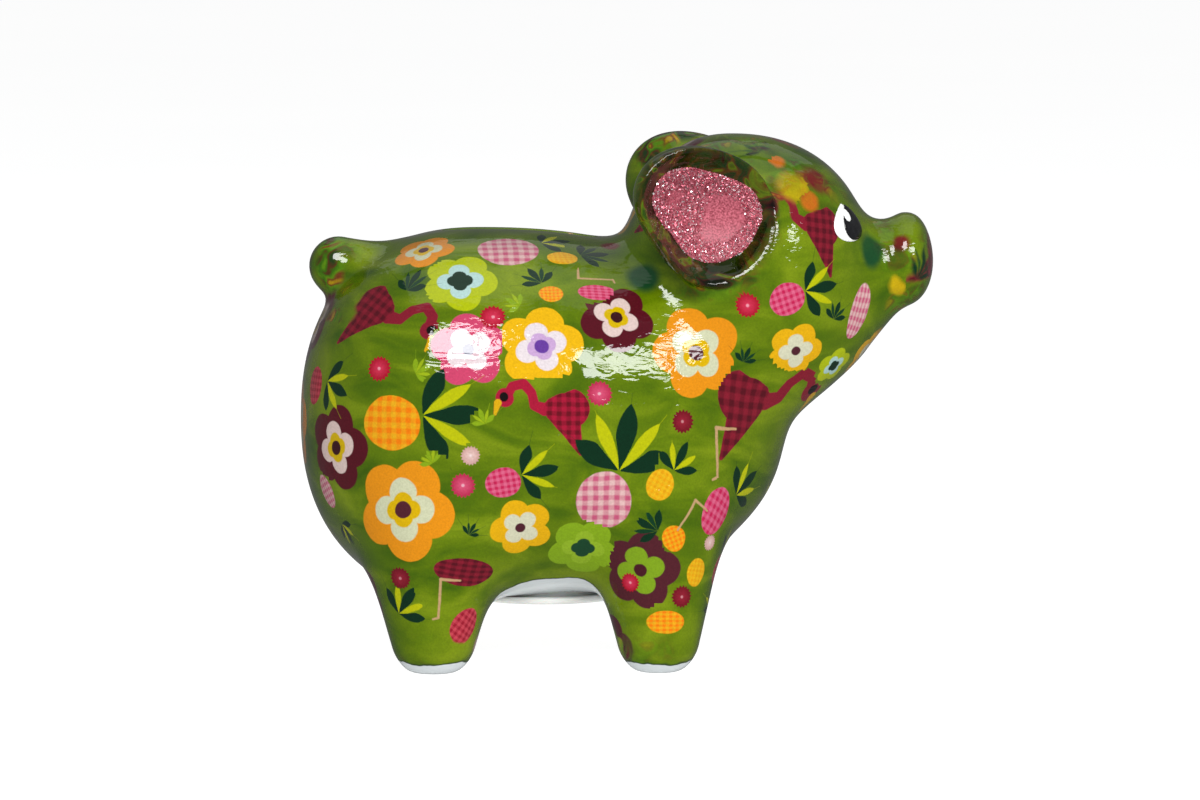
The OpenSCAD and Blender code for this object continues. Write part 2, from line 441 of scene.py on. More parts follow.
def taken(points, faces, keep):
    """The faces marked in keep, with only the points that they use."""
    chosen = [face for face, kept in zip(faces, keep) if kept]
    used = sorted({i for face in chosen for i in face})
    place = {old: new for new, old in enumerate(used)}
    return points[used], [[place[i] for i in face] for face in chosen]


def finer_near_lips(points, faces):
    """Divides the faces at the coin slot's lip and at the bung seat's edges once more."""
    mesh = bmesh_from(points, faces)
    near_slot = (np.abs(slot_outline(points)) < 2.6) & (points[:, 2] > 104)
    reach = bung_reach(points)
    near_seat = (np.abs(reach - RECESS_RADIUS) < 1.7) | (np.abs(reach - HOLE_RADIUS) < 1.7)
    near = near_slot | (near_seat & (points[:, 2] < LAND_Z + 6))
    edges = [e for e in mesh.edges if near[e.verts[0].index] and near[e.verts[1].index]]
    bmesh.ops.subdivide_edges(mesh, edges=edges, cuts=1, use_grid_fill=True)
    points, faces = arrays_of(mesh)
    mesh.free()
    return settle(skin_distance, points, 3, 0.25), faces


def glazed_pieces():
    """The outside of the bank as closed pieces: body, tail, right ear and left ear."""
    step = 1.0
    values, low = lattice(skin_distance, (-83, 0, -3), (85, 48, 138), step)
    points, faces = surface_net(values, low, step)
    points = settle(skin_distance, points)
    points = relax(skin_distance, points, faces, 3)
    points, faces = finer_near_lips(points, faces.tolist())
    mesh = bmesh_from(points, faces)
    for other in ("tail", "ear"):
        mesh.verts.index_update()
        points, _ = arrays_of(mesh)
        base, tail, bowl, _ = skin_parts(points)
        scored(mesh, (tail if other == "tail" else bowl) - base)
    points, faces = arrays_of(mesh)
    mesh.free()
    centres = np.array([points[f].mean(0) for f in faces])
    base, tail, bowl, _ = skin_parts(centres)
    is_tail = (tail < base) & (tail < bowl)
    is_ear = (bowl < base) & ~is_tail
    _, _, out = ear_axes()
    inward = -out * EAR_PULL
    mirrored = inward * (1, -1, 1)
    body_points, body_faces = taken(points, faces, ~(is_tail | is_ear))
    made = {
        "tail": capped(*taken(points, faces, is_tail), TAIL_PULL),
        "right_ear": capped(*taken(points, faces, is_ear & (centres[:, 1] < 0)), inward),
        "left_ear": capped(*taken(points, faces, is_ear & (centres[:, 1] > 0)), mirrored),
        "body": (body_points, body_faces),
    }
    return made, (inward, mirrored)


def closed_body(points, faces, ear_pulls):
    """The body with its ear and tail openings closed by the same fans as those pieces."""
    open_count = len(points)
    points, closed = capped(points, faces, np.zeros(3))
    for index in range(open_count, len(points)):
        x, y, _ = points[index]
        if x < TAIL_STARTS:
            points[index] += TAIL_PULL
        else:
            points[index] += ear_pulls[0] if y < 0 else ear_pulls[1]
    return points, closed


def applied(made):
    """An object's mesh with its modifiers applied, which are then removed."""
    graph = bpy.context.evaluated_depsgraph_get()
    graph.update()
    result = bpy.data.meshes.new_from_object(made.evaluated_get(graph))
    made.modifiers.clear()
    made.data = result
    return made


def hollowed(made):
    """Takes the casting's hollow out of the body, which opens the slot and the bung's hole."""
    step = 2.2
    values, low = lattice(hollow_distance, (-83, 0, 0), (70, 48, 134), step)
    points, faces = surface_net(values, low, step)
    points = settle(hollow_distance, points)
    hollow = plain_object("hollow", points, faces)
    tool = made.modifiers.new("hollow", "BOOLEAN")
    tool.operation = "DIFFERENCE"
    tool.solver = "MANIFOLD"
    tool.object = hollow
    applied(made)
    bpy.data.objects.remove(hollow)
    return made


def points_of(made):
    flat = np.zeros(len(made.data.vertices) * 3)
    made.data.vertices.foreach_get("co", flat)
    return flat.reshape(-1, 3) / MM


def true_normals(made):
    """Gives the outside its exact normals, so that the glaze reflects without facets."""
    points = points_of(made)
    normal = unit(slope_of(skin_distance, points))
    normal[np.abs(skin_distance(points)) > 0.03] = 0
    made.data.normals_split_custom_set_from_vertices(normal.tolist())


# ---------------------------------------------------------------------------
# The printed film: where each motif lies, and what it is printed in
# ---------------------------------------------------------------------------
def linear(code):
    """Linear colour of an sRGB hex code."""
    parts = [int(code[i:i + 2], 16) / 255 for i in (1, 3, 5)]
    return tuple(p / 12.92 if p <= 0.04045 else ((p + 0.055) / 1.055) ** 2.4 for p in parts)


KINDS = {"blossom": 1, "pineapple": 2, "sprig": 3, "berry": 4, "bird": 5, "legs": 6,
         "blot": 7}
# How far each kind of motif reaches from its middle, in its own sizes
REACH = {"blossom": 1.12, "pineapple": 1.04, "sprig": 1.1, "berry": 1.05, "bird": 1.5, "legs": 1.1,
         "blot": 1.15}
# Four inks for each motif: for a blossom its petals, ring, heart and dot; for a pineapple or
# a bird the two check inks, the beak and the eye; for a sprig its two leaf greens
INKS = {
    "orange_blossom": ("#f39a14", "#dcdfba", "#e6bb00", "#57232e"),
    "maroon_blossom": ("#5c1120", "#ecd3cc", "#e0bc00", "#3c0f18"),
    "lime_blossom": ("#bccb0a", "#bfe3de", "#04301b", "#04301b"),
    "yellow_blossom": ("#f4ba0c", "#e4e3c4", "#e4e3c4", "#562430"),
    "pink_blossom": ("#da4a72", "#f6e4e8", "#f0cfd8", "#8f8fa0"),
    "violet_blossom": ("#f8c010", "#f4e8ec", "#d3aede", "#6c40a4"),
    "open_blossom": ("#57212b", "#86ab1e", "#86ab1e", "#4c1924"),
    "shade_blossom": ("#8db31c", "#9cc02a", "#1b4a2d", "#1b4a2d"),
    "orange_pineapple": ("#f7b81c", "#ff8406", "#ff8406", "#ff8406"),
    "pink_pineapple": ("#edc3c0", "#cf5d80", "#cf5d80", "#cf5d80"),
    "magenta_pineapple": ("#ea6c92", "#cf2558", "#cf2558", "#cf2558"),
    "yellow_pineapple": ("#f5c11c", "#f0a80c", "#f0a80c", "#f0a80c"),
    "red_pineapple": ("#d84a5a", "#a51c32", "#a51c32", "#a51c32"),
    "sprig": ("#05311b", "#c5c905", "#05311b", "#05311b"),
    "dark_sprig": ("#06321c", "#0c3d22", "#05311b", "#05311b"),
    "lime_sprig": ("#b7c412", "#c9cd12", "#05311b", "#05311b"),
    "faint_sprig": ("#8fb018", "#a3bc18", "#05311b", "#05311b"),
    "crimson_berry": ("#b30d28", "#e0385a", "#e0385a", "#f4a0b0"),
    "maroon_berry": ("#76101f", "#9c2236", "#9c2236", "#d08a90"),
    "pink_berry": ("#c02a50", "#e2587e", "#e2587e", "#f0b0c0"),
    "pale_star": ("#d8a8a0", "#f2cfc8", "#f2cfc8", "#f8e0e0"),
    "bird": ("#b3183a", "#6f0e1f", "#e8b410", "#160a0c"),
    "dark_bird": ("#8e1c30", "#5c0f1e", "#e8b410", "#160a0c"),
    "legs": ("#cda678", "#cda678", "#cda678", "#cda678"),
    "blot": ("#0b4a2a", "#0b4a2a", "#0b4a2a", "#0b4a2a"),
    "red_blot": ("#7c1222", "#a02030", "#a02030", "#a02030"),
    "yellow_blot": ("#d9b60c", "#e6c80c", "#e6c80c", "#e6c80c"),
    "orange_blot": ("#d8721a", "#e88a1c", "#e88a1c", "#e88a1c"),
}
# The right side's motifs: kind, inks, place across and up as seen from that side, size in
# millimetres, turn in degrees anticlockwise, and how wide it is for its height
RIGHT_SIDE_LARGE = [
    ("blossom", "orange_blossom", -54.2, 40.8, 13.2, 8, 1),
    ("blossom", "maroon_blossom", -71.2, 56.6, 11, 20, 1),
    ("blossom", "lime_blossom", -39.8, 98.9, 9.6, 12, 1),
    ("blossom", "orange_blossom", -49.0, 106.5, 8, 30, 1),
    ("blossom", "pink_blossom", -37.6, 81.4, 9.6, 40, 1),
    ("blossom", "violet_blossom", -19.2, 82.2, 10.8, 25, 1),
    ("blossom", "maroon_blossom", -0.2, 89.6, 9.6, 70, 1),
    ("blossom", "orange_blossom", 20.0, 80.5, 11.8, 50, 1),
    ("blossom", "yellow_blossom", 45.2, 81, 7.6, 15, 1),
    ("blossom", "yellow_blossom", -24.3, 36.3, 8, 60, 1),
    ("blossom", "shade_blossom", -8.6, 31.2, 9, 0, 1),
    ("blossom", "open_blossom", 5.8, 25.6, 10.2, 20, 1),
    ("blossom", "lime_blossom", 54.8, 77.3, 5.4, 40, 1),
    ("pineapple", "orange_pineapple", -57.2, 62.8, 8, 90, 1),
    ("pineapple", "pink_pineapple", -3.5, 43.2, 7.8, 0, 1.05),
    ("pineapple", "pink_pineapple", -27.6, 106.6, 7.9, 90, 1),
    ("pineapple", "magenta_pineapple", -28.9, 47.7, 4.6, 100, 1),
    ("pineapple", "magenta_pineapple", 43.2, 94.2, 4.8, 110, 1),
    ("pineapple", "magenta_pineapple", 25.2, 40.5, 6.4, -30, 0.86),
    ("pineapple", "pink_pineapple", 61.2, 90.9, 7.4, -14, 0.5),
    ("pineapple", "yellow_pineapple", 10.9, 47.2, 4.1, -30, 1),
    ("pineapple", "yellow_pineapple", -13.9, 104.6, 4, 90, 0.8),
    ("pineapple", "orange_pineapple", -16.8, 95.6, 3.2, 90, 0.9),
    ("pineapple", "orange_pineapple", 14.4, 33.6, 3.5, 20, 1),
    ("pineapple", "yellow_pineapple", 20.0, 25, 3.7, -10, 0.9),
    ("pineapple", "orange_pineapple", 12.4, 12.4, 5, 90, 0.7),
    ("pineapple", "red_pineapple", -38.6, 11.4, 5, -30, 0.9),
    ("pineapple", "red_pineapple", -76.4, 72.4, 5, 0, 0.9),
    ("pineapple", "pink_pineapple", -73.4, 45.4, 4.5, 20, 0.8),
    ("pineapple", "magenta_pineapple", -4.9, 95.8, 5.2, 85, 0.55),
    ("bird", "bird", -17.6, 64.5, 9.6, 0, 1),
    ("bird", "dark_bird", 36.6, 66.0, 13.4, -8, -1),
    ("bird", "dark_bird", -59.4, 88.6, 11, -28, -1),
    ("pineapple", "dark_bird", -38.4, 25.0, 8.6, 82, 0.5),
    ("bird", "dark_bird", 48.2, 111.4, 10.6, -8, 0.85),
]
RIGHT_SIDE_SMALL = [
    ("sprig", "sprig", -49.4, 64.6, 15.5, -88, 1),
    ("sprig", "sprig", 0.4, 50.6, 16.5, -10, 1),
    ("sprig", "sprig", -24.2, 49.6, 9.4, -78, 1),
    ("sprig", "sprig", 47.6, 96.0, 9.4, -80, 1),
    ("sprig", "sprig", 30.2, 44.6, 9, -52, 1),
    ("sprig", "sprig", 14.4, 50.8, 7.6, -28, 1),
    ("sprig", "sprig", -19.2, 108.4, 8, -80, 1),
    ("sprig", "dark_sprig", -9.2, 105.2, 7.5, -85, 1),
    ("sprig", "dark_sprig", -19.0, 98.2, 6, 30, 1),
    ("sprig", "dark_sprig", -53.2, 96.4, 7, -10, 0.8),
    ("sprig", "dark_sprig", 10.2, 35.6, 6.4, 60, 1),
    ("sprig", "sprig", -55.2, 14.6, 8.6, -40, 1),
    ("sprig", "dark_sprig", -37.6, 34.4, 3.4, -30, 1),
    ("sprig", "sprig", -64.2, 24.4, 7, 30, 0.8),
    ("sprig", "sprig", -73.4, 73.4, 9, -110, 1),
    ("sprig", "dark_sprig", 32.0, 78.2, 4, -20, 1),
    ("sprig", "dark_sprig", 54.8, 89, 4.6, -20, 1),
    ("sprig", "sprig", -69.6, 37.2, 6, -150, 1),
    ("sprig", "dark_sprig", 76.2, 100.4, 6, -25, 1),
    ("sprig", "faint_sprig", -46.7, 52.6, 4, 30, 1),
    ("sprig", "faint_sprig", -24.6, 92.6, 4.2, 60, 1),
    ("sprig", "faint_sprig", -33.4, 62.4, 4, 20, 1),
    ("sprig", "faint_sprig", -51.2, 75.4, 4.5, -60, 1),
    ("sprig", "dark_sprig", 36.4, 131.0, 6, 40, 1),
    ("berry", "crimson_berry", -31.6, 89.6, 3.5, 0, 1),
    ("berry", "crimson_berry", -60.3, 76.6, 3.4, 0, 1),
    ("berry", "pink_berry", -4.4, 70.3, 3.4, 0, 1),
    ("berry", "pink_berry", -39.0, 47.0, 3.3, 0, 1),
    ("berry", "maroon_berry", 16.6, 63.1, 3.2, 0, 1),
    ("berry", "crimson_berry", 33.0, 92.6, 3.2, 0, 1),
    ("berry", "maroon_berry", -54.9, 23.6, 3.1, 0, 1),
    ("berry", "crimson_berry", 3.2, 22.4, 2.6, 0, 1),
    ("blot", "red_blot", 71.3, 108.0, 3.6, 0, 1),
    ("berry", "pale_star", -37.3, 54.5, 2.6, 0, 1),
    ("berry", "pale_star", 23.5, 32.6, 2.2, 0, 1),
    ("berry", "maroon_berry", 16.4, 18.8, 3, 0, 1),
    ("blot", "red_blot", -2.0, 107.6, 3, 0, 1),
    ("blot", "blot", 64.2, 106.4, 5.4, 0, 0.8),
    ("blot", "blot", 6.6, 99.6, 5.4, 0, 1),
    ("blot", "yellow_blot", 71.0, 97.4, 3, 0, 1),
    ("blot", "yellow_blot", 44.8, 122.6, 5.4, 0, 1),
    ("blot", "orange_blot", 48.6, 119, 3.4, 0, 1),
    ("blot", "orange_blot", 40.4, 129, 3, 0, 1),
    ("blot", "red_blot", 50.2, 124.6, 5.6, 0, 1),
    ("legs", "legs", 25.4, 56.6, 8, 4, 1),
    ("legs", "legs", -44.6, 19.4, 6.6, 0, 1),
    ("legs", "legs", -6.4, 99.4, 5.6, 88, 1),
    ("legs", "legs", 18.2, 40.0, 6, -30, 1),
]
VIEW_TURN = math.radians(-1.2)
VIEW_RISE = math.radians(4.5)
VIEW_DISTANCE = 2500.0
SIGHT_MIDDLE = np.array((0, 0, 65.0))
SIGHT_HEIGHT = 67.0
FLOOR_GLOW = 0.9
# How much light the clear glaze over the film lets back out
GLAZE_CLEARNESS = 0.62


def view_axes():
    """The directions back to the viewer, to the viewer's right, and up."""
    back = np.array((
        math.sin(VIEW_TURN) * math.cos(VIEW_RISE),
        -math.cos(VIEW_TURN) * math.cos(VIEW_RISE),
        math.sin(VIEW_RISE),
    ))
    right = np.array((math.cos(VIEW_TURN), math.sin(VIEW_TURN), 0.0))
    return back, right, np.cross(back, right)


def on_skin_from_side(places):
    """Where sight lines from the right side meet the skin, for places across and up."""
    back, right, up = view_axes()
    eye = SIGHT_MIDDLE + back * VIEW_DISTANCE
    target = SIGHT_MIDDLE + places[:, :1] * right + (places[:, 1:] - SIGHT_HEIGHT) * up
    way = unit(target - eye)
    points = eye + way * (VIEW_DISTANCE - 90)
    for _ in range(90):
        points = points + way * np.maximum(skin_parts(points)[3], 0)[:, None] * 0.9
    return points


def motif_axes(normal, turn):
    """A motif's own right and up directions in the skin, turned anticlockwise."""
    up = np.array((0, 0, 1.0)) - normal * normal[2]
    if np.linalg.norm(up) < 0.2:
        up = np.array((1.0, 0, 0)) - normal * normal[0]
    up = unit(up)
    right = np.cross(up, normal)
    cos, sin = math.cos(math.radians(turn)), math.sin(math.radians(turn))
    return right * cos + up * sin, up * cos - right * sin


def motif(kind, inks, middle, normal, size, turn, width):
    right, up = motif_axes(normal, turn)
    return {
        "kind": KINDS[kind], "inks": inks, "middle": middle, "normal": normal,
        "size": size, "reach": REACH[kind] * size, "right": right / width, "up": up,
    }


def listed_motifs(table):
    places = np.array([row[2:4] for row in table], float)
    middles = on_skin_from_side(places)
    normals = unit(slope_of(skin_distance, middles))
    return [
        motif(row[0], row[1], middle, normal, *row[4:])
        for row, middle, normal in zip(table, middles, normals)
    ]


LARGE_MIX = [
    ("blossom", "orange_blossom", 12, 1), ("blossom", "maroon_blossom", 10, 1),
    ("blossom", "violet_blossom", 10.5, 1), ("bird", "bird", 9.6, 1),
    ("blossom", "lime_blossom", 9.5, 1), ("pineapple", "pink_pineapple", 7.8, 1),
    ("pineapple", "orange_pineapple", 8, 1), ("blossom", "pink_blossom", 9.5, 1),
    ("bird", "dark_bird", 10, -1), ("blossom", "yellow_blossom", 7.8, 1),
    ("pineapple", "magenta_pineapple", 4.8, 0.9), ("pineapple", "red_pineapple", 5, 0.9),
    ("pineapple", "yellow_pineapple", 4, 1), ("blossom", "open_blossom", 9, 1),
]
SMALL_MIX = [
    ("sprig", "sprig", 8, 1), ("sprig", "dark_sprig", 5.5, 1), ("berry", "crimson_berry", 3.2, 1),
    ("sprig", "sprig", 6, 1), ("berry", "pink_berry", 3.2, 1), ("berry", "pale_star", 2.3, 1),
    ("sprig", "faint_sprig", 4.5, 1), ("legs", "legs", 6, 1), ("berry", "maroon_berry", 3.1, 1),
    ("sprig", "lime_sprig", 4.5, 1),
]


def scattered_motifs(mix, rng, spots, normals, placed, others, wanted):
    """Fills the skin that no listed motif covers. placed grows; others are kept clear of too."""
    back, _, _ = view_axes()
    hidden = (normals @ back < 0.12) | (spots[:, 1] > 4)
    spots, normals = spots[hidden], normals[hidden]
    order = rng.permutation(len(spots))
    count = 0
    for index in order:
        kind, inks, size, width = mix[count % len(mix)]
        size = size * (0.88 + 0.24 * rng.random())
        spot = spots[index]
        room = 0.8 if kind == "bird" else 1.0
        reach = REACH[kind] * size * room
        clear = True
        for other in placed + others:
            gap = np.linalg.norm(other["middle"] - spot) - other["reach"] * 0.84 - reach
            if gap < 0.3:
                clear = False
                break
        if not clear:
            continue
        turn = rng.uniform(-180, 180)
        placed.append(motif(kind, inks, spot, normals[index], size, turn, width))
        count += 1
        if count == wanted:
            break
    return placed


def crowned(large, rng):
    """A leafy crown for each scattered pineapple."""
    crowns = []
    for fruit in large:
        if fruit["kind"] != KINDS["pineapple"]:
            continue
        root = fruit["middle"] + fruit["up"] * fruit["size"] * 0.92
        size = fruit["size"] * rng.uniform(1.5, 1.9)
        root = settle(skin_distance, root[None], 4)[0]
        normal = unit(slope_of(skin_distance, root[None]))[0]
        crown = motif("sprig", "sprig", root, normal, size, 0, 1)
        up = unit(fruit["up"] - normal * (fruit["up"] @ normal))
        crown["up"], crown["right"] = up, np.cross(up, normal)
        crowns.append(crown)
    return crowns


def whole_print(points, faces):
    """Every motif of the film: a layer of large ones and a layer of small ones."""
    rng = np.random.default_rng(SEED)
    centres = points[faces].mean(1)
    chosen = rng.choice(len(centres), 9000, replace=False)
    spots = settle(skin_distance, centres[chosen], 1)
    normals = unit(slope_of(skin_distance, spots))
    film = film_cover(spots) > 1.5
    spots, normals = spots[film], normals[film]
    large = listed_motifs(RIGHT_SIDE_LARGE)
    small = listed_motifs(RIGHT_SIDE_SMALL)
    listed = len(large)
    large = scattered_motifs(LARGE_MIX, rng, spots, normals, large, [], 130)
    small += crowned(large[listed:], rng)
    clear_of = [dict(one, reach=one["reach"] * 0.8) for one in large]
    small = scattered_motifs(SMALL_MIX, rng, spots, normals, small, clear_of, 190)
    return large, small


def film_cover(points):
    """Distance inside the film's edge: the soles and an oval of the belly are left bare."""
    sole = points[:, 2] - SOLE_BAND
    oval = np.hypot((points[:, 0] + 18) / 1.5, points[:, 1]) - 26
    return np.minimum(sole, np.where(points[:, 2] < 40, oval, 99))


# Where the print film was stretched, in millimetres, and its strain where it only half gave way
TAIL_FRONT, TAIL_FOOT = -62, 88
SNOUT_BACK, SNOUT_FOOT = 60, 84
CROWN_FOOT = 116
FEET_TOP = 12
LESS_STRAINED = 0.6


def film_strain(points):
    """How far the film was stretched and smeared: 0 on the body to 1 on the ears and the tail."""
    x, _, z = points.T
    _, _, bowl, _ = skin_parts(points)
    on_ear = np.clip(1 - bowl / 5, 0, 1)
    on_tail = np.clip((TAIL_FRONT - x) / 5, 0, 1) * (z > TAIL_FOOT)
    on_snout = np.clip((x - SNOUT_BACK) / 8, 0, 1) * (z > SNOUT_FOOT)
    on_crown = np.clip((z - CROWN_FOOT) / 8, 0, 1)
    at_feet = np.clip((FEET_TOP - z) / 10, 0, 1)
    less = LESS_STRAINED * np.maximum.reduce([on_snout, on_crown, at_feet])
    return np.maximum.reduce([on_ear, on_tail, less])


def bowl_shade(points):
    """How far a point is inside an ear's bowl or on its rim, from 0 to 1."""
    height, share, past_rim = ear_place(on_right(points))
    near = np.clip(1 - (np.abs(height - EAR_DEPTH * (share**2 - 1) - EAR_LIP) - 2) / 2, 0, 1)
    return near * np.clip((1.5 - past_rim) / 2, 0, 1)


def attribute(made, name, kind, domain, values):
    data = made.data.attributes.new(name, kind, domain)
    field = "value" if kind == "FLOAT" else "vector"
    data.data.foreach_set(field, np.ascontiguousarray(values, np.float32).ravel())


def print_on(made, layers):
    """Writes each face's motif, and its corners' places in that motif, for the film to read."""
    mesh = made.data
    points = points_of(made)
    count = len(mesh.polygons)
    corner_point = np.zeros(len(mesh.loops), int)
    mesh.loops.foreach_get("vertex_index", corner_point)
    totals = np.zeros(count, int)
    mesh.polygons.foreach_get("loop_total", totals)
    face_of_corner = np.repeat(np.arange(count), totals)
    sums = np.stack([
        np.bincount(face_of_corner, points[corner_point, axis], count) for axis in range(3)
    ], 1)
    centres = sums / totals[:, None]
    normals = unit(slope_of(skin_distance, centres))
    strain = film_strain(points)
    attribute(made, "strain", "FLOAT", "POINT", strain)
    attribute(made, "film", "FLOAT", "POINT", film_cover(points))
    attribute(made, "bowl", "FLOAT", "POINT", bowl_shade(points))
    for name, motifs in layers.items():
        best = np.full(count, 9.0)
        owner = np.full(count, -1)
        for index, one in enumerate(motifs):
            offset = centres - one["middle"]
            far = np.sqrt((offset**2).sum(1))
            limit = one["reach"] + 1.5
            share = far / limit
            take = (share < 1) & (share < best) & (normals @ one["normal"] > 0.1)
            best[take] = share[take]
            owner[take] = index
        owned = owner[face_of_corner]
        used = owned >= 0
        place = np.zeros((len(mesh.loops), 3))
        corner = points[corner_point]
        for field_index, key in enumerate(("right", "up")):
            table = np.array([one[key] for one in motifs])
            middles = np.array([one["middle"] for one in motifs])
            sizes = np.array([one["size"] for one in motifs])
            offset = corner[used] - middles[owned[used]]
            place[used, field_index] = (offset * table[owned[used]]).sum(1) / sizes[owned[used]]
        normal_table = np.array([one["normal"] for one in motifs])
        offset = corner[used] - middles[owned[used]]
        flat = offset - (offset * normal_table[owned[used]]).sum(1, keepdims=True) * normal_table[
            owned[used]]
        spread = np.linalg.norm(offset, axis=1) / np.maximum(np.linalg.norm(flat, axis=1), 1e-6)
        place[used, :2] *= np.minimum(spread, 1.6)[:, None]
        place[used, 2] = 1 / sizes[owned[used]]
        attribute(made, name + "_place", "FLOAT_VECTOR", "CORNER", place)
        kinds = np.array([one["kind"] for one in motifs] + [0], float)
        attribute(made, name + "_kind", "FLOAT", "FACE", kinds[owner])
        for ink in range(4):
            table = np.array([linear(INKS[one["inks"]][ink]) for one in motifs] + [(0, 0, 0)])
            attribute(made, f"{name}_ink{ink}", "FLOAT_VECTOR", "FACE", table[owner])


# ---------------------------------------------------------------------------
# Node trees
# ---------------------------------------------------------------------------
def add(tree, kind, *inputs, **settings):
    """Adds one node. Inputs are nodes, sockets or values; settings are sockets or properties."""
    node = tree.nodes.new(kind)
    for name, value in settings.items():
        if name[0].islower():
            setattr(node, name, value)
    given = list(zip(node.inputs, inputs))
    for name, value in settings.items():
        if name[0].isupper():
            given.append((node.inputs[name], value))
    for socket, value in given:
        if isinstance(value, bpy.types.Node):
            value = value.outputs[0]
        if isinstance(value, bpy.types.NodeSocket):
            tree.links.new(value, socket)
        elif value is not None:
            socket.default_value = value
    return node


def set_stops(ramp, *stops):
    """Gives a colour ramp its stops: each is a place from 0 to 1 and an sRGB hex code."""
    elements = ramp.color_ramp.elements
    elements[0].position = stops[0][0]
    elements[1].position = stops[-1][0]
    for at, _ in stops[1:-1]:
        elements.new(at)
    for element, (_, code) in zip(elements, stops):
        element.color = (*linear(code), 1)


MATH = "ShaderNodeMath"
VECTOR = "ShaderNodeVectorMath"
RANGE = "ShaderNodeMapRange"


def new_group(name, inputs, outputs):
    tree = bpy.data.node_groups.new(name, "ShaderNodeTree")
    for label, kind in inputs:
        tree.interface.new_socket(label, in_out="INPUT", socket_type="NodeSocket" + kind)
    for label, kind in outputs:
        tree.interface.new_socket(label, in_out="OUTPUT", socket_type="NodeSocket" + kind)
    return tree, tree.nodes.new("NodeGroupInput"), tree.nodes.new("NodeGroupOutput")


def stroke_group():
    """Distance from a place to a stroke from A to B that is so wide at each end."""
    tree, given, result = new_group(
        "stroke",
        [("Place", "Vector"), ("A", "Vector"), ("B", "Vector"), ("Wide A", "Float"),
         ("Wide B", "Float")],
        [("Distance", "Float")],
    )
    place, start, end, wide_start, wide_end = given.outputs[:5]
    way = add(tree, VECTOR, end, start, operation="SUBTRACT")
    offset = add(tree, VECTOR, place, start, operation="SUBTRACT")
    along = add(tree, VECTOR, offset, way, operation="DOT_PRODUCT").outputs["Value"]
    whole = add(tree, VECTOR, way, way, operation="DOT_PRODUCT").outputs["Value"]
    share = add(tree, MATH, along, whole, operation="DIVIDE", use_clamp=True)
    foot = add(tree, VECTOR, way, Scale=share, operation="SCALE")
    gap = add(tree, VECTOR, offset, foot, operation="SUBTRACT")
    reach = add(tree, VECTOR, gap, operation="LENGTH").outputs["Value"]
    width = add(tree, RANGE, share, 0, 1, wide_start, wide_end)
    distance = add(tree, MATH, reach, width, operation="SUBTRACT")
    tree.links.new(distance.outputs[0], result.inputs[0])
    return tree


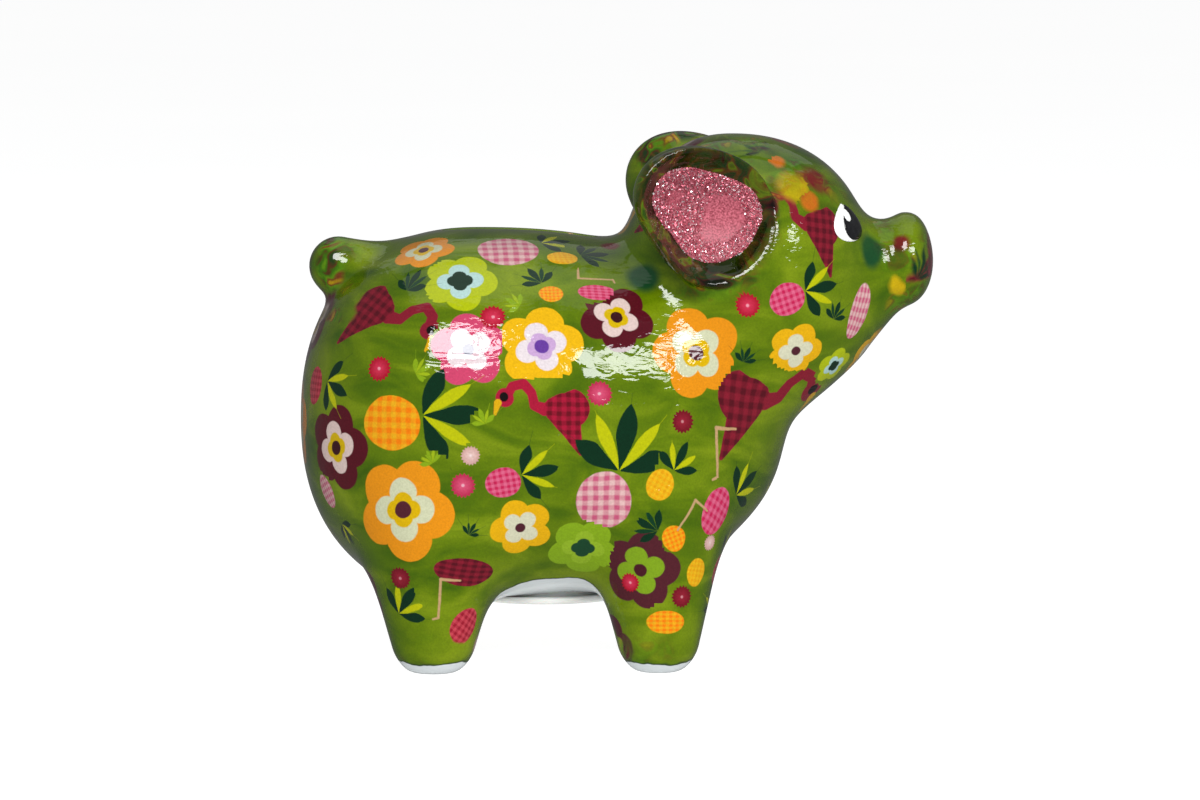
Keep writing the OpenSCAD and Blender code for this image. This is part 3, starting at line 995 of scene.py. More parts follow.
def motif_group(stroke):
    """The film's inks: one motif's colour, and where it covers the ground."""
    tree, given, result = new_group(
        "film_motif",
        [("Place", "Vector"), ("Kind", "Float"), ("Blur", "Float"), ("Ink 0", "Vector"),
         ("Ink 1", "Vector"), ("Ink 2", "Vector"), ("Ink 3", "Vector")],
        [("Colour", "Color"), ("Cover", "Float")],
    )
    place, kind, blur = given.outputs[:3]
    inks = given.outputs[3:7]
    split = add(tree, "ShaderNodeSeparateXYZ", place)
    u, v = split.outputs[0], split.outputs[1]
    flat = add(tree, "ShaderNodeCombineXYZ", u, v, 0.0)
    reach = add(tree, VECTOR, flat, operation="LENGTH").outputs["Value"]
    angle = add(tree, MATH, v, u, operation="ARCTAN2")
    less_blur = add(tree, MATH, blur, -1.0, operation="MULTIPLY")

    def inked(distance):
        return add(tree, RANGE, distance, blur, less_blur, 0.0, 1.0,
                   interpolation_type="SMOOTHSTEP").outputs[0]

    def disc(middle, radius, spot=flat):
        gap = add(tree, VECTOR, spot, (*middle, 0), operation="SUBTRACT")
        gap = add(tree, VECTOR, gap, operation="LENGTH").outputs["Value"]
        return add(tree, MATH, gap, radius, operation="SUBTRACT").outputs[0]

    def petals(count, out, radius, turn):
        turned = add(tree, MATH, angle, turn, operation="ADD")
        folded = add(tree, MATH, turned, math.pi / count, operation="PINGPONG")
        across = add(tree, MATH, folded, operation="SINE")
        along = add(tree, MATH, folded, operation="COSINE")
        spot = add(tree, "ShaderNodeCombineXYZ", along, across, 0.0)
        spot = add(tree, VECTOR, spot, Scale=reach, operation="SCALE")
        return disc((out, 0), radius, spot)

    def least(*distances):
        total = distances[0]
        for other in distances[1:]:
            total = add(tree, MATH, total, other, operation="MINIMUM").outputs[0]
        return total

    def stroked(start, end, wide_start, wide_end):
        return add(tree, "ShaderNodeGroup", flat, (*start, 0), (*end, 0), wide_start, wide_end,
                   node_tree=stroke).outputs[0]

    def checks(cell):
        marks = []
        for axis in (u, v):
            wave = add(tree, MATH, axis, math.pi / cell, operation="MULTIPLY")
            wave = add(tree, MATH, wave, operation="SINE")
            marks.append(add(tree, RANGE, wave, -0.6, 0.6, 0.0, 0.5,
                             interpolation_type="SMOOTHSTEP").outputs[0])
        return add(tree, MATH, *marks, operation="ADD").outputs[0]

    # Each kind gives its cover, then how far its second, third and fourth inks show
    parts = {}
    petal = least(petals(5, 0.54, 0.46, 0.3), disc((0, 0), 0.5))
    ring = petals(4, 0.34, 0.27, 0.1)
    heart = petals(4, 0.15, 0.19, 0.1)
    parts["blossom"] = [inked(petal), inked(ring), inked(heart), inked(disc((0, 0), 0.165))]

    wide = add(tree, VECTOR, flat, (1 / 0.88, 1, 1), operation="MULTIPLY")
    wide = add(tree, VECTOR, wide, operation="LENGTH").outputs["Value"]
    fruit = add(tree, MATH, wide, 0.97, operation="SUBTRACT").outputs[0]
    parts["pineapple"] = [inked(fruit), checks(0.165), None, None]

    # Leaves in a fan: three broad dark ones, with paler and narrower ones between them
    from_up = add(tree, MATH, u, v, operation="ARCTAN2")
    fan_step = 0.56
    sector = add(tree, MATH, from_up, fan_step, operation="DIVIDE")
    sector = add(tree, MATH, sector, operation="ROUND")
    sector = add(tree, MATH, sector, 2.0, operation="MINIMUM")
    sector = add(tree, MATH, sector, -2.0, operation="MAXIMUM")
    lean = add(tree, MATH, sector, -fan_step, from_up, operation="MULTIPLY_ADD")
    along = add(tree, MATH, add(tree, MATH, lean, operation="COSINE"), reach,
                operation="MULTIPLY")
    across = add(tree, MATH, add(tree, MATH, lean, operation="SINE"), reach,
                 operation="MULTIPLY")
    across = add(tree, MATH, across, operation="ABSOLUTE")
    odd = add(tree, MATH, sector, 1.0, operation="PINGPONG")
    outer = add(tree, MATH, sector, operation="ABSOLUTE")
    length = add(tree, MATH, outer, -0.1, 1.04, operation="MULTIPLY_ADD")
    share = add(tree, MATH, along, length, operation="DIVIDE", use_clamp=True)
    rest = add(tree, MATH, 1.0, share, operation="SUBTRACT")
    body = add(tree, MATH, add(tree, MATH, share, rest, operation="MULTIPLY"),
               add(tree, RANGE, share, 0, 1, 0.4, 0.95), operation="MULTIPLY")
    body = add(tree, MATH, body, add(tree, RANGE, odd, 0, 1, 0.9, 0.56), operation="MULTIPLY")
    leaf = add(tree, MATH, across, body, operation="SUBTRACT")
    behind = add(tree, MATH, 0.03, along, operation="SUBTRACT")
    leaf = add(tree, MATH, leaf, behind, operation="MAXIMUM").outputs[0]
    pale = odd.outputs[0]
    parts["sprig"] = [inked(leaf), pale, None, None]

    spikes = add(tree, MATH, add(tree, MATH, angle, 18.0, operation="MULTIPLY"),
                 operation="SINE")
    edge = add(tree, MATH, spikes, 0.07, 0.88, operation="MULTIPLY_ADD")
    berry = add(tree, MATH, reach, edge, operation="SUBTRACT").outputs[0]
    glow = add(tree, RANGE, reach, 0.85, 0.1, 0.0, 1.0).outputs[0]
    parts["berry"] = [inked(berry), glow, None, inked(disc((0, 0), 0.12))]

    wing = least(stroked((0.42, 0.12), (0.86, -0.98), 0.46, 0.05),
                 stroked((0.1, 0.3), (0.6, 0.2), 0.16, 0.5))
    neck = least(
        stroked((-1.08, 0.5), (-0.92, 0.78), 0.13, 0.12),
        stroked((-0.92, 0.78), (-0.62, 0.86), 0.12, 0.12),
        stroked((-0.62, 0.86), (-0.42, 0.62), 0.12, 0.12),
        stroked((-0.42, 0.62), (-0.34, 0.28), 0.12, 0.13),
        stroked((-0.34, 0.28), (-0.06, 0.16), 0.13, 0.17),
        stroked((-0.06, 0.16), (0.2, 0.26), 0.17, 0.24),
    )
    head = disc((-1.12, 0.5), 0.24)
    beak = stroked((-1.3, 0.36), (-1.36, 0.06), 0.1, 0.04)
    spots = add(tree, MATH, checks(0.12), inked(wing), operation="MULTIPLY").outputs[0]
    parts["bird"] = [inked(least(wing, neck, head, beak)), spots, inked(beak),
                     inked(disc((-1.14, 0.52), 0.115))]

    parts["legs"] = [inked(least(
        stroked((-0.06, -0.95), (0.0, 0.62), 0.045, 0.05),
        stroked((0.0, 0.62), (0.75, 0.5), 0.06, 0.04),
        stroked((-0.06, -0.95), (-0.26, -1.0), 0.05, 0.04),
    )), None, None, None]

    soft_disc = add(tree, RANGE, reach, 1.05, 0.5, 0.0, 0.95,
                    interpolation_type="SMOOTHSTEP").outputs[0]
    parts["blot"] = [soft_disc, None, None, None]

    totals = [None] * 4
    for name, marks in parts.items():
        here = add(tree, MATH, kind, float(KINDS[name]), 0.3, operation="COMPARE")
        for index, mark in enumerate(marks):
            if mark is None:
                continue
            share = add(tree, MATH, here, mark, operation="MULTIPLY")
            if totals[index] is None:
                totals[index] = share
            else:
                totals[index] = add(tree, MATH, totals[index], share, operation="ADD")
    colour = inks[0]
    for ink, mark in zip(inks[1:], totals[1:]):
        colour = add(tree, "ShaderNodeMixRGB", mark, colour, ink)
    tree.links.new(colour.outputs[0], result.inputs[0])
    tree.links.new(totals[0].outputs[0], result.inputs[1])
    return tree


def new_material(name):
    material = bpy.data.materials.new(name)
    material.use_nodes = True
    tree = material.node_tree
    tree.nodes.clear()
    out = tree.nodes.new("ShaderNodeOutputMaterial")
    return material, tree, out


# ---------------------------------------------------------------------------
# Materials
# ---------------------------------------------------------------------------
def grained(tree, colour, position, level, depth):
    """A colour dimmed to a level, with fine printing grain, drawn at 0.5 mm so that it shows."""
    grain = add(tree, "ShaderNodeTexNoise", position, Scale=1 / (0.5 * MM), Detail=1.0)
    shade = add(tree, RANGE, grain, 0.25, 0.75, level * (1 - depth), level * (1 + depth))
    return add(tree, "ShaderNodeMixRGB", 1.0, colour, shade, blend_type="MULTIPLY")


def glazed_print():
    """Transfer film under clear glaze, fired on white slip ware.

    The eye sees crisp printed inks through a hard wet gloss, smeared where the film was
    stretched over the ears, snout and tail, and bare white glaze past the film's edge.
    """
    material, tree, out = new_material("glazed_transfer_print")
    position = add(tree, "ShaderNodeTexCoord").outputs["Object"]
    strain = add(tree, "ShaderNodeAttribute", attribute_name="strain").outputs["Fac"]
    film = add(tree, "ShaderNodeAttribute", attribute_name="film").outputs["Fac"]

    # The ground: brushed green patches about 12 mm long, with paler strokes
    brushed = add(tree, "ShaderNodeMapping", position, Scale=(0.55, 0.55, 1.2))
    patches = add(tree, "ShaderNodeTexNoise", brushed, Scale=1 / (13 * MM), Detail=3.0,
                  Distortion=0.8)
    ground = add(tree, "ShaderNodeValToRGB", patches)
    set_stops(ground, (0.3, "#426502"), (0.5, "#668204"), (0.72, "#889f14"))

    # Slow drift of the inks' places, and strong smearing where the film was strained
    drift = add(tree, "ShaderNodeTexNoise", position, Scale=1 / (9 * MM), Detail=2.0)
    drift = add(tree, VECTOR, drift.outputs["Color"], (0.5, 0.5, 0.5), operation="SUBTRACT")
    ragged = add(tree, "ShaderNodeTexNoise", position, Scale=1 / (1.3 * MM), Detail=1.0)
    ragged = add(tree, VECTOR, ragged.outputs["Color"], (0.5, 0.5, 0.5), operation="SUBTRACT")
    drift = add(tree, VECTOR, drift, Scale=add(tree, RANGE, strain, 0, 1, 1.0, 9.0),
                operation="SCALE")
    drift = add(tree, VECTOR, drift, add(tree, VECTOR, ragged, Scale=0.14, operation="SCALE"),
                operation="ADD")
    blur = add(tree, RANGE, strain, 0, 1, 0.17, 1.3)
    colour = ground
    stroke = bpy.data.node_groups.get("stroke") or stroke_group()
    inks = bpy.data.node_groups.get("film_motif") or motif_group(stroke)
    for layer in ("large", "small"):
        place = add(tree, "ShaderNodeAttribute", attribute_name=layer + "_place")
        kind = add(tree, "ShaderNodeAttribute", attribute_name=layer + "_kind").outputs["Fac"]
        per_size = add(tree, "ShaderNodeSeparateXYZ", place.outputs["Vector"]).outputs[2]
        shift = add(tree, VECTOR, drift, Scale=per_size, operation="SCALE")
        moved = add(tree, VECTOR, place.outputs["Vector"], shift, operation="ADD")
        soft = add(tree, MATH, blur, per_size, operation="MULTIPLY")
        node = add(tree, "ShaderNodeGroup", moved, kind, soft, node_tree=inks)
        for ink in range(4):
            source = add(tree, "ShaderNodeAttribute", attribute_name=f"{layer}_ink{ink}")
            tree.links.new(source.outputs["Vector"], node.inputs[f"Ink {ink}"])
        colour = add(tree, "ShaderNodeMixRGB", node.outputs["Cover"], colour,
                     node.outputs["Colour"])

    # Ink blotches that ran together on the strained film
    blots = add(tree, "ShaderNodeTexNoise", position, Scale=1 / (7 * MM), Detail=1.5,
                Distortion=1.2)
    blot = add(tree, "ShaderNodeValToRGB", blots)
    set_stops(blot, (0.34, "#0a2c16"), (0.42, "#571018"), (0.47, "#356a0a"), (0.56, "#5f9410"),
              (0.63, "#7c1a1e"), (0.7, "#c9a010"))
    reach = add(tree, "ShaderNodeTexNoise", position, Scale=1 / (10 * MM), Detail=1.0)
    share = add(tree, RANGE, reach, 0.46, 0.6, 0.0, 0.85)
    share = add(tree, MATH, share, strain, operation="MULTIPLY")
    colour = add(tree, "ShaderNodeMixRGB", share, colour, blot)

    # The ears' bowls and rims turn to a dark mottle of black, maroon and green
    bowl = add(tree, "ShaderNodeAttribute", attribute_name="bowl").outputs["Fac"]
    bowl_dark_mottle = add(tree, "ShaderNodeValToRGB", blots)
    set_stops(bowl_dark_mottle, (0.38, "#050a06"), (0.45, "#3a0a10"), (0.5, "#0c2a14"), (0.57, "#5c1414"),
              (0.63, "#5d7a10"), (0.68, "#23480e"))
    bowl_dark_share = add(tree, MATH, bowl, 0.9, operation="MULTIPLY")
    colour = add(tree, "ShaderNodeMixRGB", bowl_dark_share, colour, bowl_dark_mottle)
    colour = grained(tree, colour, position, GLAZE_CLEARNESS, 0.1)

    # Painted shade at grazing edges: seen edge-on, less light comes back out of the glaze, so the
    # colour is darkened there
    facing = add(tree, "ShaderNodeLayerWeight", Blend=0.5).outputs["Facing"]
    edge_on_painted_shade = add(tree, RANGE, facing, 0.45, 1.0, 1.0, 0.35)
    colour = add(tree, "ShaderNodeMixRGB", 1.0, colour, edge_on_painted_shade, blend_type="MULTIPLY")

    # Past the film's wavy edge the glaze is bare and white; a dark band just inside the film's edge
    # is painted shade
    wave = add(tree, "ShaderNodeTexNoise", position, Scale=1 / (6 * MM), Detail=2.0)
    edge = add(tree, RANGE, wave, 0.3, 0.7, -0.5, 0.5, clamp=False)
    edge = add(tree, MATH, film, edge, operation="ADD")
    # Painted shade: a dark band along the film's edge
    dark = add(tree, RANGE, edge, 0.7, 0.15, 0.0, 0.9)
    colour = add(tree, "ShaderNodeMixRGB", dark, colour, (*linear("#20301a"), 1))
    bare = add(tree, RANGE, edge, 0.1, -0.15, 0.0, 1.0, interpolation_type="SMOOTHSTEP")
    colour = add(tree, "ShaderNodeMixRGB", bare, colour, (*linear("#c4c9cb"), 1))

    # The glaze pools in slow waves a few tenths of a micron high over 5 to 20 mm
    waves = add(tree, "ShaderNodeTexNoise", position, Scale=1 / (14 * MM), Detail=2.0)
    wrinkles = add(tree, "ShaderNodeTexNoise", brushed, Scale=1 / (2.6 * MM), Detail=2.0,
                   Distortion=1.5)
    creased = add(tree, RANGE, patches, 0.44, 0.6, 0.12, 1.1)
    height = add(tree, MATH, wrinkles, creased, waves, operation="MULTIPLY_ADD")
    bump = add(tree, "ShaderNodeBump", Strength=0.35, Distance=0.5 * MM, Height=height)
    coat = {"Specular IOR Level": 0.0, "Coat Weight": 1.0, "Coat Roughness": 0.03,
            "Coat IOR": 1.5, "Coat Normal": bump}
    shader = add(tree, "ShaderNodeBsdfPrincipled", colour, Roughness=0.42, IOR=1.5, **coat)
    tree.links.new(shader.outputs[0], out.inputs[0])
    return material


def bisque():
    """Unglazed fired earthenware inside the casting: chalky, pale and matt."""
    material, tree, out = new_material("fired_bisque")
    position = add(tree, "ShaderNodeTexCoord").outputs["Object"]
    cloud = add(tree, "ShaderNodeTexNoise", position, Scale=1 / (9 * MM), Detail=4.0)
    colour = add(tree, "ShaderNodeValToRGB", cloud)
    set_stops(colour, (0.3, "#c9c0b0"), (0.7, "#dcd6ca"))
    grit = add(tree, "ShaderNodeTexNoise", position, Scale=1 / (0.4 * MM), Detail=2.0)
    bump = add(tree, "ShaderNodeBump", Strength=0.3, Distance=0.1 * MM, Height=grit)
    rough = add(tree, RANGE, cloud, 0.3, 0.7, 0.8, 0.92)
    shader = add(tree, "ShaderNodeBsdfPrincipled", colour, Roughness=rough, Normal=bump)
    tree.links.new(shader.outputs[0], out.inputs[0])
    return material


def enamel(name, low, high):
    """Raised enamel paint, brushed on and fired: glossy, with faint brush ridges."""
    material, tree, out = new_material(name)
    position = add(tree, "ShaderNodeTexCoord").outputs["Object"]
    ridges = add(tree, "ShaderNodeTexNoise", position, Scale=1 / (1.4 * MM), Detail=2.0)
    colour = add(tree, "ShaderNodeValToRGB", ridges)
    set_stops(colour, (0.3, low), (0.7, high))
    bump = add(tree, "ShaderNodeBump", Strength=0.2, Distance=0.06 * MM, Height=ridges)
    rough = add(tree, RANGE, ridges, 0.3, 0.7, 0.1, 0.2)
    shader = add(tree, "ShaderNodeBsdfPrincipled", colour, Roughness=rough, IOR=1.52,
                 Normal=bump)
    tree.links.new(shader.outputs[0], out.inputs[0])
    return material


def glitter_glue():
    """Clear craft glue tinted by the rose glitter dust that sank into it."""
    material, tree, out = new_material("glitter_glue")
    position = add(tree, "ShaderNodeTexCoord").outputs["Object"]
    dust = add(tree, "ShaderNodeTexNoise", position, Scale=1 / (0.45 * MM), Detail=2.0)
    colour = add(tree, "ShaderNodeValToRGB", dust)
    set_stops(colour, (0.35, "#84303f"), (0.68, "#c06070"))
    bump = add(tree, "ShaderNodeBump", Strength=0.5, Distance=0.15 * MM, Height=dust)
    rough = add(tree, RANGE, dust, 0.3, 0.7, 0.35, 0.6)
    shader = add(tree, "ShaderNodeBsdfPrincipled", colour, Roughness=rough, Normal=bump)
    tree.links.new(shader.outputs[0], out.inputs[0])
    return material


def glitter_flakes():
    """Hexagonal flakes of metallised polyester film: each a tiny tinted mirror."""
    material, tree, out = new_material("metallised_film_glitter")
    shade = add(tree, "ShaderNodeAttribute", attribute_name="flake_shade").outputs["Fac"]
    colour = add(tree, "ShaderNodeValToRGB", shade)
    colour.color_ramp.interpolation = "CONSTANT"
    # The pink and rose stops are the glitter's own colours; the white and near-white stops are
    # painted glints, the grey stop painted shade
    set_stops(colour, (0.0, "#c2606f"), (0.3, "#d07484"), (0.5, "#a84456"), (0.64, "#eaa0ae"),
              (0.76, "#8c3044"), (0.84, "#fbe4e8"), (0.9, "#8a8488"), (0.93, "#ffffff"))
    rough = add(tree, RANGE, shade, 0, 1, 0.32, 0.18)
    shader = add(tree, "ShaderNodeBsdfPrincipled", colour, Roughness=rough, Metallic=0.55)
    tree.links.new(shader.outputs[0], out.inputs[0])
    return material


def bung_vinyl():
    """Soft moulded vinyl: milky white and waxy, with a fine moulded grain."""
    material, tree, out = new_material("moulded_soft_vinyl")
    position = add(tree, "ShaderNodeTexCoord").outputs["Object"]
    cloud = add(tree, "ShaderNodeTexNoise", position, Scale=1 / (7 * MM), Detail=3.0)
    colour = add(tree, "ShaderNodeValToRGB", cloud)
    set_stops(colour, (0.3, "#d6d8d4"), (0.7, "#e6e7e2"))
    grain = add(tree, "ShaderNodeTexNoise", position, Scale=1 / (0.5 * MM), Detail=1.0)
    bump = add(tree, "ShaderNodeBump", Strength=0.15, Distance=0.05 * MM, Height=grain)
    rough = add(tree, RANGE, cloud, 0.3, 0.7, 0.42, 0.55)
    waxy = {"Subsurface Weight": 0.15, "Subsurface Scale": 2 * MM}
    shader = add(tree, "ShaderNodeBsdfPrincipled", colour, Roughness=rough, Normal=bump, **waxy)
    tree.links.new(shader.outputs[0], out.inputs[0])
    return material


# ---------------------------------------------------------------------------
# Ears' glitter patches
# ---------------------------------------------------------------------------
def ear_surface(a, b, rise):
    """Points of the bowl's face, raised by rise, from places across and up the ear."""
    front, up, out = ear_axes()
    rim = ear_rim(np.arctan2(b, a))
    share = np.hypot(a, b) / rim
    lean = np.sqrt(1 + (2 * EAR_DEPTH * share / EAR_SIZE) ** 2)
    height = EAR_DEPTH * (share**2 - 1) + (EAR_LIP + rise) * lean
    return (
        EAR_MIDDLE + np.outer(a * EAR_STRETCH, front) + np.outer(b, up)
        + height[:, None] * out
    )


def patch_edge(angles):
    """Distance from the ear's middle to the glitter's edge: fuller above and in front."""
    edge = (
        12.3
        + 2.6 * np.cos(angles - math.radians(36))
        + 2.1 * np.cos(2 * (angles + math.radians(33)))
        + 1.0 * np.cos(3 * (angles - math.radians(19)))
    )
    return np.minimum(edge, ear_rim(angles) - EAR_LIP + 0.4)


def glitter_base(side):
    """A low cushion of glue that follows the bowl, with a slightly uneven edge."""
    rings, sides = 14, 96
    thickness, sunk = 0.55, 0.5
    angles = np.arange(sides) * math.tau / sides
    uneven = 1 + 0.008 * np.sin(5 * angles + 1) + 0.006 * np.sin(11 * angles + 2)
    edge = patch_edge(angles) * uneven
    points = [ear_surface(np.zeros(1), np.zeros(1) + 1e-6, thickness)]
    faces = []
    for ring in range(1, rings + 1):
        share = math.sin(0.5 * math.pi * ring / rings)
        rise = thickness * max(0.0, 1 - share**10) ** 0.5
        points.append(ear_surface(share * edge * np.cos(angles), share * edge * np.sin(angles),
                                  rise))
    points.append(ear_surface(0.99 * edge * np.cos(angles), 0.99 * edge * np.sin(angles), -sunk))
    points.append(ear_surface(np.zeros(1), np.zeros(1) + 1e-6, -sunk))
    points = np.concatenate(points)
    last = len(points) - 1
    for i in range(sides):
        after = (i + 1) % sides
        faces.append([0, 1 + i, 1 + after])
        for ring in range(rings):
            low, high = 1 + ring * sides, 1 + (ring + 1) * sides
            faces.append([low + i, high + i, high + after, low + after])
        low = 1 + rings * sides
        faces.append([low + i, last, low + after])
    if side > 0:
        points = points * (1, -1, 1)
        faces = [face[::-1] for face in faces]
    return points, faces


def flake_tree(flake_material):
    """Scatters glitter flakes over a surface, each with its own tilt and shade."""
    tree = bpy.data.node_groups.new("glitter_scatter", "GeometryNodeTree")
    face = tree.interface
    face.new_socket("Geometry", in_out="INPUT", socket_type="NodeSocketGeometry")
    for name, value in (("Flake radius", 0.27 * MM), ("Flakes per square metre", 15e6),
                        ("Tilt", 1.0)):
        socket = face.new_socket(name, in_out="INPUT", socket_type="NodeSocketFloat")
        socket.default_value = value
    socket = face.new_socket("Seed", in_out="INPUT", socket_type="NodeSocketInt")
    face.new_socket("Geometry", in_out="OUTPUT", socket_type="NodeSocketGeometry")
    given = tree.nodes.new("NodeGroupInput")
    result = tree.nodes.new("NodeGroupOutput")
    base, radius, density, tilt, seed = given.outputs[:5]
    top = add(tree, "GeometryNodeInputNamedAttribute", "on_top", data_type="FLOAT")
    spots = add(tree, "GeometryNodeDistributePointsOnFaces", base, Selection=top,
                Density=density, Seed=seed, distribute_method="RANDOM")
    flake = add(tree, "GeometryNodeMeshCircle", Vertices=6, Radius=radius, fill_type="NGON")
    limit = add(tree, MATH, tilt, -1.0, operation="MULTIPLY")
    least = add(tree, "ShaderNodeCombineXYZ", limit, limit, -math.pi)
    most = add(tree, "ShaderNodeCombineXYZ", tilt, tilt, math.pi)
    lean = add(tree, "FunctionNodeRandomValue", least, most, Seed=seed,
               data_type="FLOAT_VECTOR")
    turned = add(tree, "FunctionNodeRotateRotation", spots.outputs["Rotation"], lean,
                 rotation_space="LOCAL")
    size = add(tree, "FunctionNodeRandomValue", None, None, 0.65, 1.15, data_type="FLOAT")
    placed = add(tree, "GeometryNodeInstanceOnPoints", spots.outputs["Points"],
                 Instance=flake, Rotation=turned, Scale=size.outputs[1])
    shade = add(tree, "FunctionNodeRandomValue", Seed=seed, data_type="FLOAT")
    stored = add(tree, "GeometryNodeStoreNamedAttribute", placed, Name="flake_shade",
                 Value=shade.outputs[1], data_type="FLOAT", domain="INSTANCE")
    loose = add(tree, "GeometryNodeRealizeInstances", stored)
    coated = add(tree, "GeometryNodeSetMaterial", loose, Material=flake_material)
    joined = add(tree, "GeometryNodeJoinGeometry")
    tree.links.new(base, joined.inputs[0])
    tree.links.new(coated.outputs[0], joined.inputs[0])
    tree.links.new(joined.outputs[0], result.inputs[0])
    return tree


def glitter_patch(name, side, tree, glue):
    points, faces = glitter_base(side)
    made = plain_object(name, points, faces)
    made.data.materials.append(glue)
    _, _, out = ear_axes()
    out = out * (1, -side, 1) if side > 0 else out
    normals = np.array([p.normal[:] for p in made.data.polygons])
    attribute(made, "on_top", "FLOAT", "FACE", (normals @ out > 0.25).astype(float))
    scatter = made.modifiers.new("scatter", "NODES")
    scatter.node_group = tree
    for item in tree.interface.items_tree:
        if item.name == "Seed" and item.in_out == "INPUT":
            scatter[item.identifier] = SEED + side
    return applied(made)


# ---------------------------------------------------------------------------
# Eyes
# ---------------------------------------------------------------------------
EYE_MIDDLE = np.array((58.4, -16.0, 112.2))
EYE_YAW = math.radians(58)
EYE_RISE = math.radians(18)
EYE_WIDTH = 11.4
EYE_HEIGHT = 10.0


def eye_axes():
    right = np.array((math.cos(EYE_YAW), math.sin(EYE_YAW), 0.0))
    out = np.array((
        math.sin(EYE_YAW) * math.cos(EYE_RISE),
        -math.cos(EYE_YAW) * math.cos(EYE_RISE),
        math.sin(EYE_RISE),
    ))
    return right, np.cross(out, right), out


def enamel_drop(width, height, shift, turn, base, rise):
    """A domed drop of enamel on the face: base is its foot's height over the skin."""
    right, up, out = eye_axes()
    rings, sides = 10, 48
    angles = np.arange(sides) * math.tau / sides
    across = 0.65 * width * np.sin(angles) * np.sin(angles / 2) ** 0.8
    along = height / 2 * np.cos(angles)
    cos, sin = math.cos(math.radians(turn)), math.sin(math.radians(turn))
    across, along = across * cos - along * sin, across * sin + along * cos
    flat = [np.zeros((1, 2))]
    lift = [np.full(1, base + rise)]
    for ring in range(1, rings + 1):
        share = math.sin(0.5 * math.pi * ring / rings)
        flat.append(np.stack([across * share, along * share], 1))
        lift.append(np.full(sides, base + rise * (1 - share**6) ** 0.5))
    flat.append(np.stack([across, along], 1))
    lift.append(np.full(sides, -0.5))
    flat.append(np.zeros((1, 2)))
    lift.append(np.full(1, -0.5))
    flat = np.concatenate(flat) + shift
    lift = np.concatenate(lift)
    points = EYE_MIDDLE + np.outer(flat[:, 0], right) + np.outer(flat[:, 1], up) + out * 6
    for _ in range(40):
        points = points - out * (skin_parts(points)[3] * 0.9)[:, None]
    normal = unit(slope_of(skin_distance, points))
    points = points + normal * lift[:, None]
    faces = []
    last = len(points) - 1
    for i in range(sides):
        after = (i + 1) % sides
        faces.append([0, 1 + after, 1 + i])
        for ring in range(rings):
            low, high = 1 + ring * sides, 1 + (ring + 1) * sides
            faces.append([low + i, low + after, high + after, high + i])
        low = 1 + rings * sides
        faces.append([low + i, low + after, last])
    return points, faces


def both_eyes():
    drops = {
        "eye": (EYE_WIDTH, EYE_HEIGHT, (-1.0, 0.5), 0, 0.0, 0.55),
        "pupil": (EYE_WIDTH * 0.68, EYE_HEIGHT * 0.93, (0.2, 0.4), 5, 0.4, 0.5),
        "eye_light": (2.2, 3.3, (-1.5, 2.1), 5, 0.8, 0.25),
    }
    made = {}
    for name, sizes in drops.items():
        points, faces = enamel_drop(*sizes)
        made["right_" + name] = plain_object("right_" + name + "_enamel", points, faces)
        made["left_" + name] = plain_object(
            "left_" + name + "_enamel", points * (1, -1, 1), [f[::-1] for f in faces])
    return made


# ---------------------------------------------------------------------------
# The bung
# ---------------------------------------------------------------------------
def spun(profile, middle_x, sides=96):
    """A closed turned solid from a profile of (radius, height) that starts and ends on the axis."""
    points, faces = [], []
    inner = profile[1:-1]
    angles = np.arange(sides) * math.tau / sides
    for radius, height in inner:
        for angle in angles:
            points.append((middle_x + radius * math.cos(angle), radius * math.sin(angle), height))
    count = len(inner)
    for row in range(count - 1):
        for i in range(sides):
            after = (i + 1) % sides
            low, high = row * sides, (row + 1) * sides
            faces.append([low + i, low + after, high + after, high + i])
    points.append((middle_x, 0, profile[0][1]))
    points.append((middle_x, 0, profile[-1][1]))
    first, last = len(points) - 2, len(points) - 1
    for i in range(sides):
        after = (i + 1) % sides
        faces.append([i, first, after])
        low = (count - 1) * sides
        faces.append([low + after, last, low + i])
    return np.array(points), faces


def bung():
    """The belly's bung: a flange with a rolled edge, a finger tab and a hollow ribbed neck."""
    low = LAND_Z - 1.8
    flange = RECESS_RADIUS - 0.7
    neck = HOLE_RADIUS - 0.05
    profile = [
        (0, low - 0.6), (5.4, low - 0.6), (6.6, low - 0.45), (7, low - 0.1), (7.1, low + 0.12),
        (7.6, low + 0.3), (11.4, low + 0.3), (12.2, low + 0.05), (13, low), (17.6, low),
        (18.8, low + 0.25), (flange, low + 0.9), (19.0, LAND_Z - 0.12), (18.6, LAND_Z),
        (neck, LAND_Z), (neck, LAND_Z + 1.2), (neck - 0.25, LAND_Z + 1.5),
        (neck - 0.25, LAND_Z + 2.2), (neck, LAND_Z + 2.5), (neck, LAND_Z + 3.8),
        (neck - 0.4, LAND_Z + 5.4), (neck - 0.9, LAND_Z + 6), (13.9, LAND_Z + 6),
        (13.5, LAND_Z + 5.6), (13.5, LAND_Z + 1.8), (13.1, LAND_Z + 1.2), (0, LAND_Z + 1.2),
    ]
    points, faces = spun(profile, BUNG_X)
    return plain_object("belly_bung", points, faces)


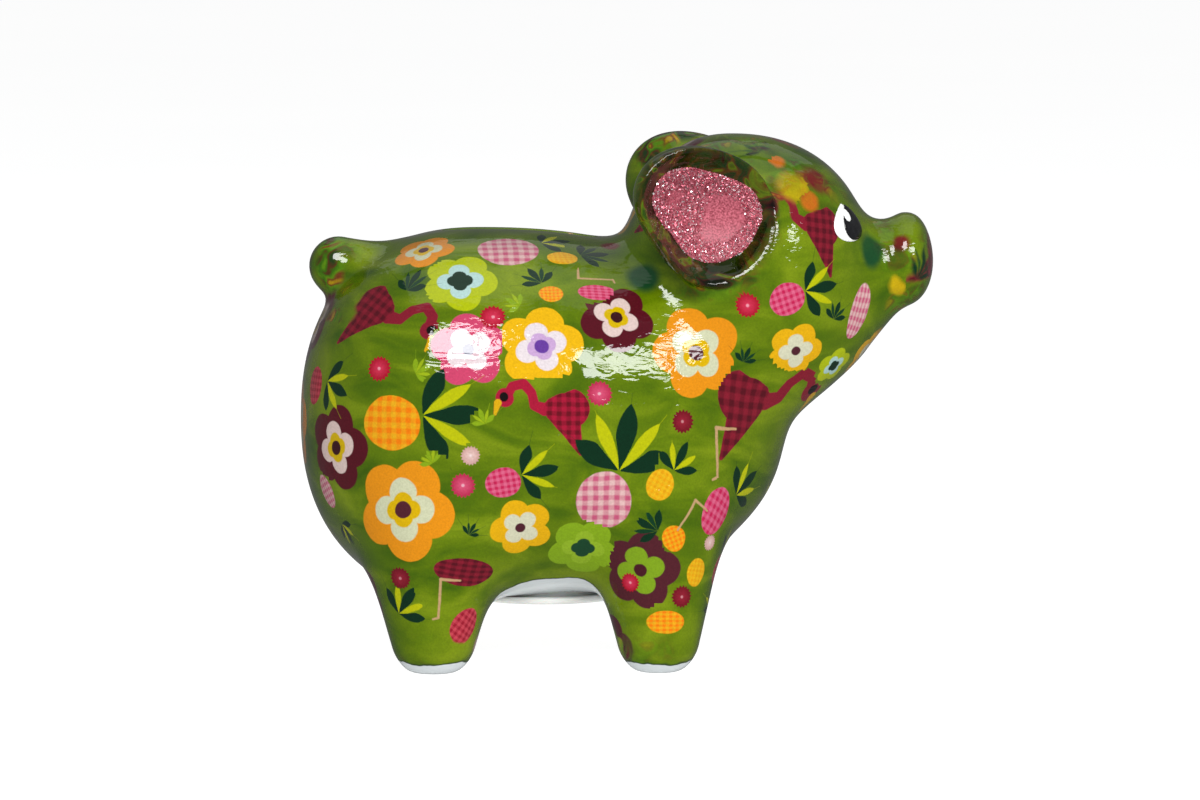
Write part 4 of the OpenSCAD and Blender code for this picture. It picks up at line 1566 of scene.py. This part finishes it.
# ---------------------------------------------------------------------------
# Put the bank together
# ---------------------------------------------------------------------------
pieces, ear_pulls = glazed_pieces()
body_points, body_faces = pieces["body"]
printed = glazed_print()
inside_clay = bisque()
body = hollowed(plain_object("glazed_body", *closed_body(body_points, body_faces, ear_pulls)))
tail = plain_object("glazed_tail", *pieces["tail"])
right_ear = plain_object("glazed_right_ear", *pieces["right_ear"])
left_ear = plain_object("glazed_left_ear", *pieces["left_ear"])
triangles = np.array([f[:3] for f in body_faces])
large, small = whole_print(body_points, triangles)
for made in (body, tail, right_ear, left_ear):
    made.data.materials.clear()
    made.data.materials.append(printed)
    made.data.materials.append(inside_clay)
    print_on(made, {"large": large, "small": small})
    centres = np.array([p.center[:] for p in made.data.polygons]) / MM
    deep = (np.abs(skin_distance(centres)) > 0.5).astype(int)
    made.data.polygons.foreach_set("material_index", deep)
    made.data.polygons.foreach_set("use_smooth", np.ones(len(deep), bool))
    true_normals(made)

flakes = flake_tree(glitter_flakes())
glue = glitter_glue()
right_glitter = glitter_patch("right_ear_glitter_patch", -1, flakes, glue)
left_glitter = glitter_patch("left_ear_glitter_patch", 1, flakes, glue)

white_enamel = enamel("white_fired_enamel", "#dfe0de", "#f2f2f0")
black_enamel = enamel("black_fired_enamel", "#0b0b0d", "#1a1a1e")
drops = both_eyes()
for name, made in drops.items():
    made.data.materials.append(black_enamel if "pupil" in name else white_enamel)

stopper = bung()
stopper.data.materials.append(bung_vinyl())

for made, node, slot in (
    (body, "body_shell", "printed_glaze"), (tail, "tail", "printed_glaze"),
    (right_ear, "right_ear", "printed_glaze"), (left_ear, "left_ear", "printed_glaze"),
    (right_glitter, "right_ear_glitter", "pink_glitter"),
    (left_glitter, "left_ear_glitter", "pink_glitter"),
    (drops["right_eye"], "right_eye", "white_enamel"),
    (drops["left_eye"], "left_eye", "white_enamel"),
    (drops["right_pupil"], "right_pupil", "black_enamel"),
    (drops["left_pupil"], "left_pupil", "black_enamel"),
):
    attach(made, "bank")
    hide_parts(node)
for name in ("right_eye_light", "left_eye_light"):
    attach(drops[name], "bank")
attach(stopper, "bung")
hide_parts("stopper")


# ---------------------------------------------------------------------------
# Floor, light and camera
# ---------------------------------------------------------------------------
def studio_floor():
    """A light table: a plain white sheet, lit evenly from below, wide enough to fill any view."""
    half = 15000.0
    points = np.array([(-half, -half, 0), (half, -half, 0), (half, half, 0), (-half, half, 0)])
    made = plain_object("studio_floor", points, [[0, 1, 2, 3]])
    material, tree, out = new_material("lit_white_acrylic_sheet")
    position = add(tree, "ShaderNodeTexCoord").outputs["Object"]
    cloud = add(tree, "ShaderNodeTexNoise", position, Scale=1 / (300 * MM), Detail=2.0)
    colour = add(tree, "ShaderNodeValToRGB", cloud)
    set_stops(colour, (0.3, "#9a9c9d"), (0.7, "#a0a1a1"))
    # The table glows less towards its front
    across = add(tree, "ShaderNodeSeparateXYZ", position).outputs[1]
    glow = add(tree, RANGE, across, -0.75, -0.25, 0.25, FLOOR_GLOW,
               interpolation_type="SMOOTHSTEP")
    lit = {"Emission Color": (1, 1, 1, 1), "Emission Strength": glow}
    shader = add(tree, "ShaderNodeBsdfPrincipled", colour, Roughness=0.8, **lit)
    tree.links.new(shader.outputs[0], out.inputs[0])
    made.data.materials.append(material)
    # The glaze mirrors the dim world, not the table, so glossy rays pass the table by
    made.visible_glossy = False


def softbox(name, turn, rise, distance, width, height, power):
    """An area light that faces the bank from a turn to the right and a rise, in degrees."""
    light = bpy.data.lights.new(name, "AREA")
    light.shape = "RECTANGLE"
    light.size, light.size_y, light.energy = width, height, power
    made = bpy.data.objects.new(name, light)
    bpy.context.scene.collection.objects.link(made)
    turn, rise = math.radians(turn), math.radians(rise)
    way = np.array((
        math.sin(turn) * math.cos(rise), -math.cos(turn) * math.cos(rise), math.sin(rise)))
    made.location = np.array((0, 0, 0.07)) + way * distance
    made.rotation_mode = "QUATERNION"
    made.rotation_quaternion = Vector(way).to_track_quat("Z", "Y")
    return made


def studio():
    world = bpy.data.worlds.new("studio")
    bpy.context.scene.world = world
    world.use_nodes = True
    world.node_tree.nodes["Background"].inputs[0].default_value = (1, 1, 1, 1)
    world.node_tree.nodes["Background"].inputs[1].default_value = 0.16
    softbox("left_softbox", -14, 39, 1.5, 0.62, 0.5, 15)
    softbox("right_softbox", 33, 28, 1.5, 0.7, 0.42, 14)
    softbox("top_softbox", 0, 88, 2.2, 2.4, 1.6, 6)
    softbox("rear_softbox", 180, 52, 2.2, 2.2, 1.2, 3)


def camera():
    data = bpy.data.cameras.new("camera")
    data.sensor_width = 36
    data.lens = 296.3
    data.clip_end = 30
    made = bpy.data.objects.new("camera", data)
    bpy.context.scene.collection.objects.link(made)
    back, right, up = view_axes()
    aim = SIGHT_MIDDLE + right * -4.3 + up * 1.6
    made.location = (aim + back * VIEW_DISTANCE) * MM
    made.rotation_mode = "QUATERNION"
    made.rotation_quaternion = Vector(back).to_track_quat("Z", "Y")
    bpy.context.scene.camera = made


studio_floor()
studio()
camera()
bpy.context.scene.view_settings.view_transform = "Standard"
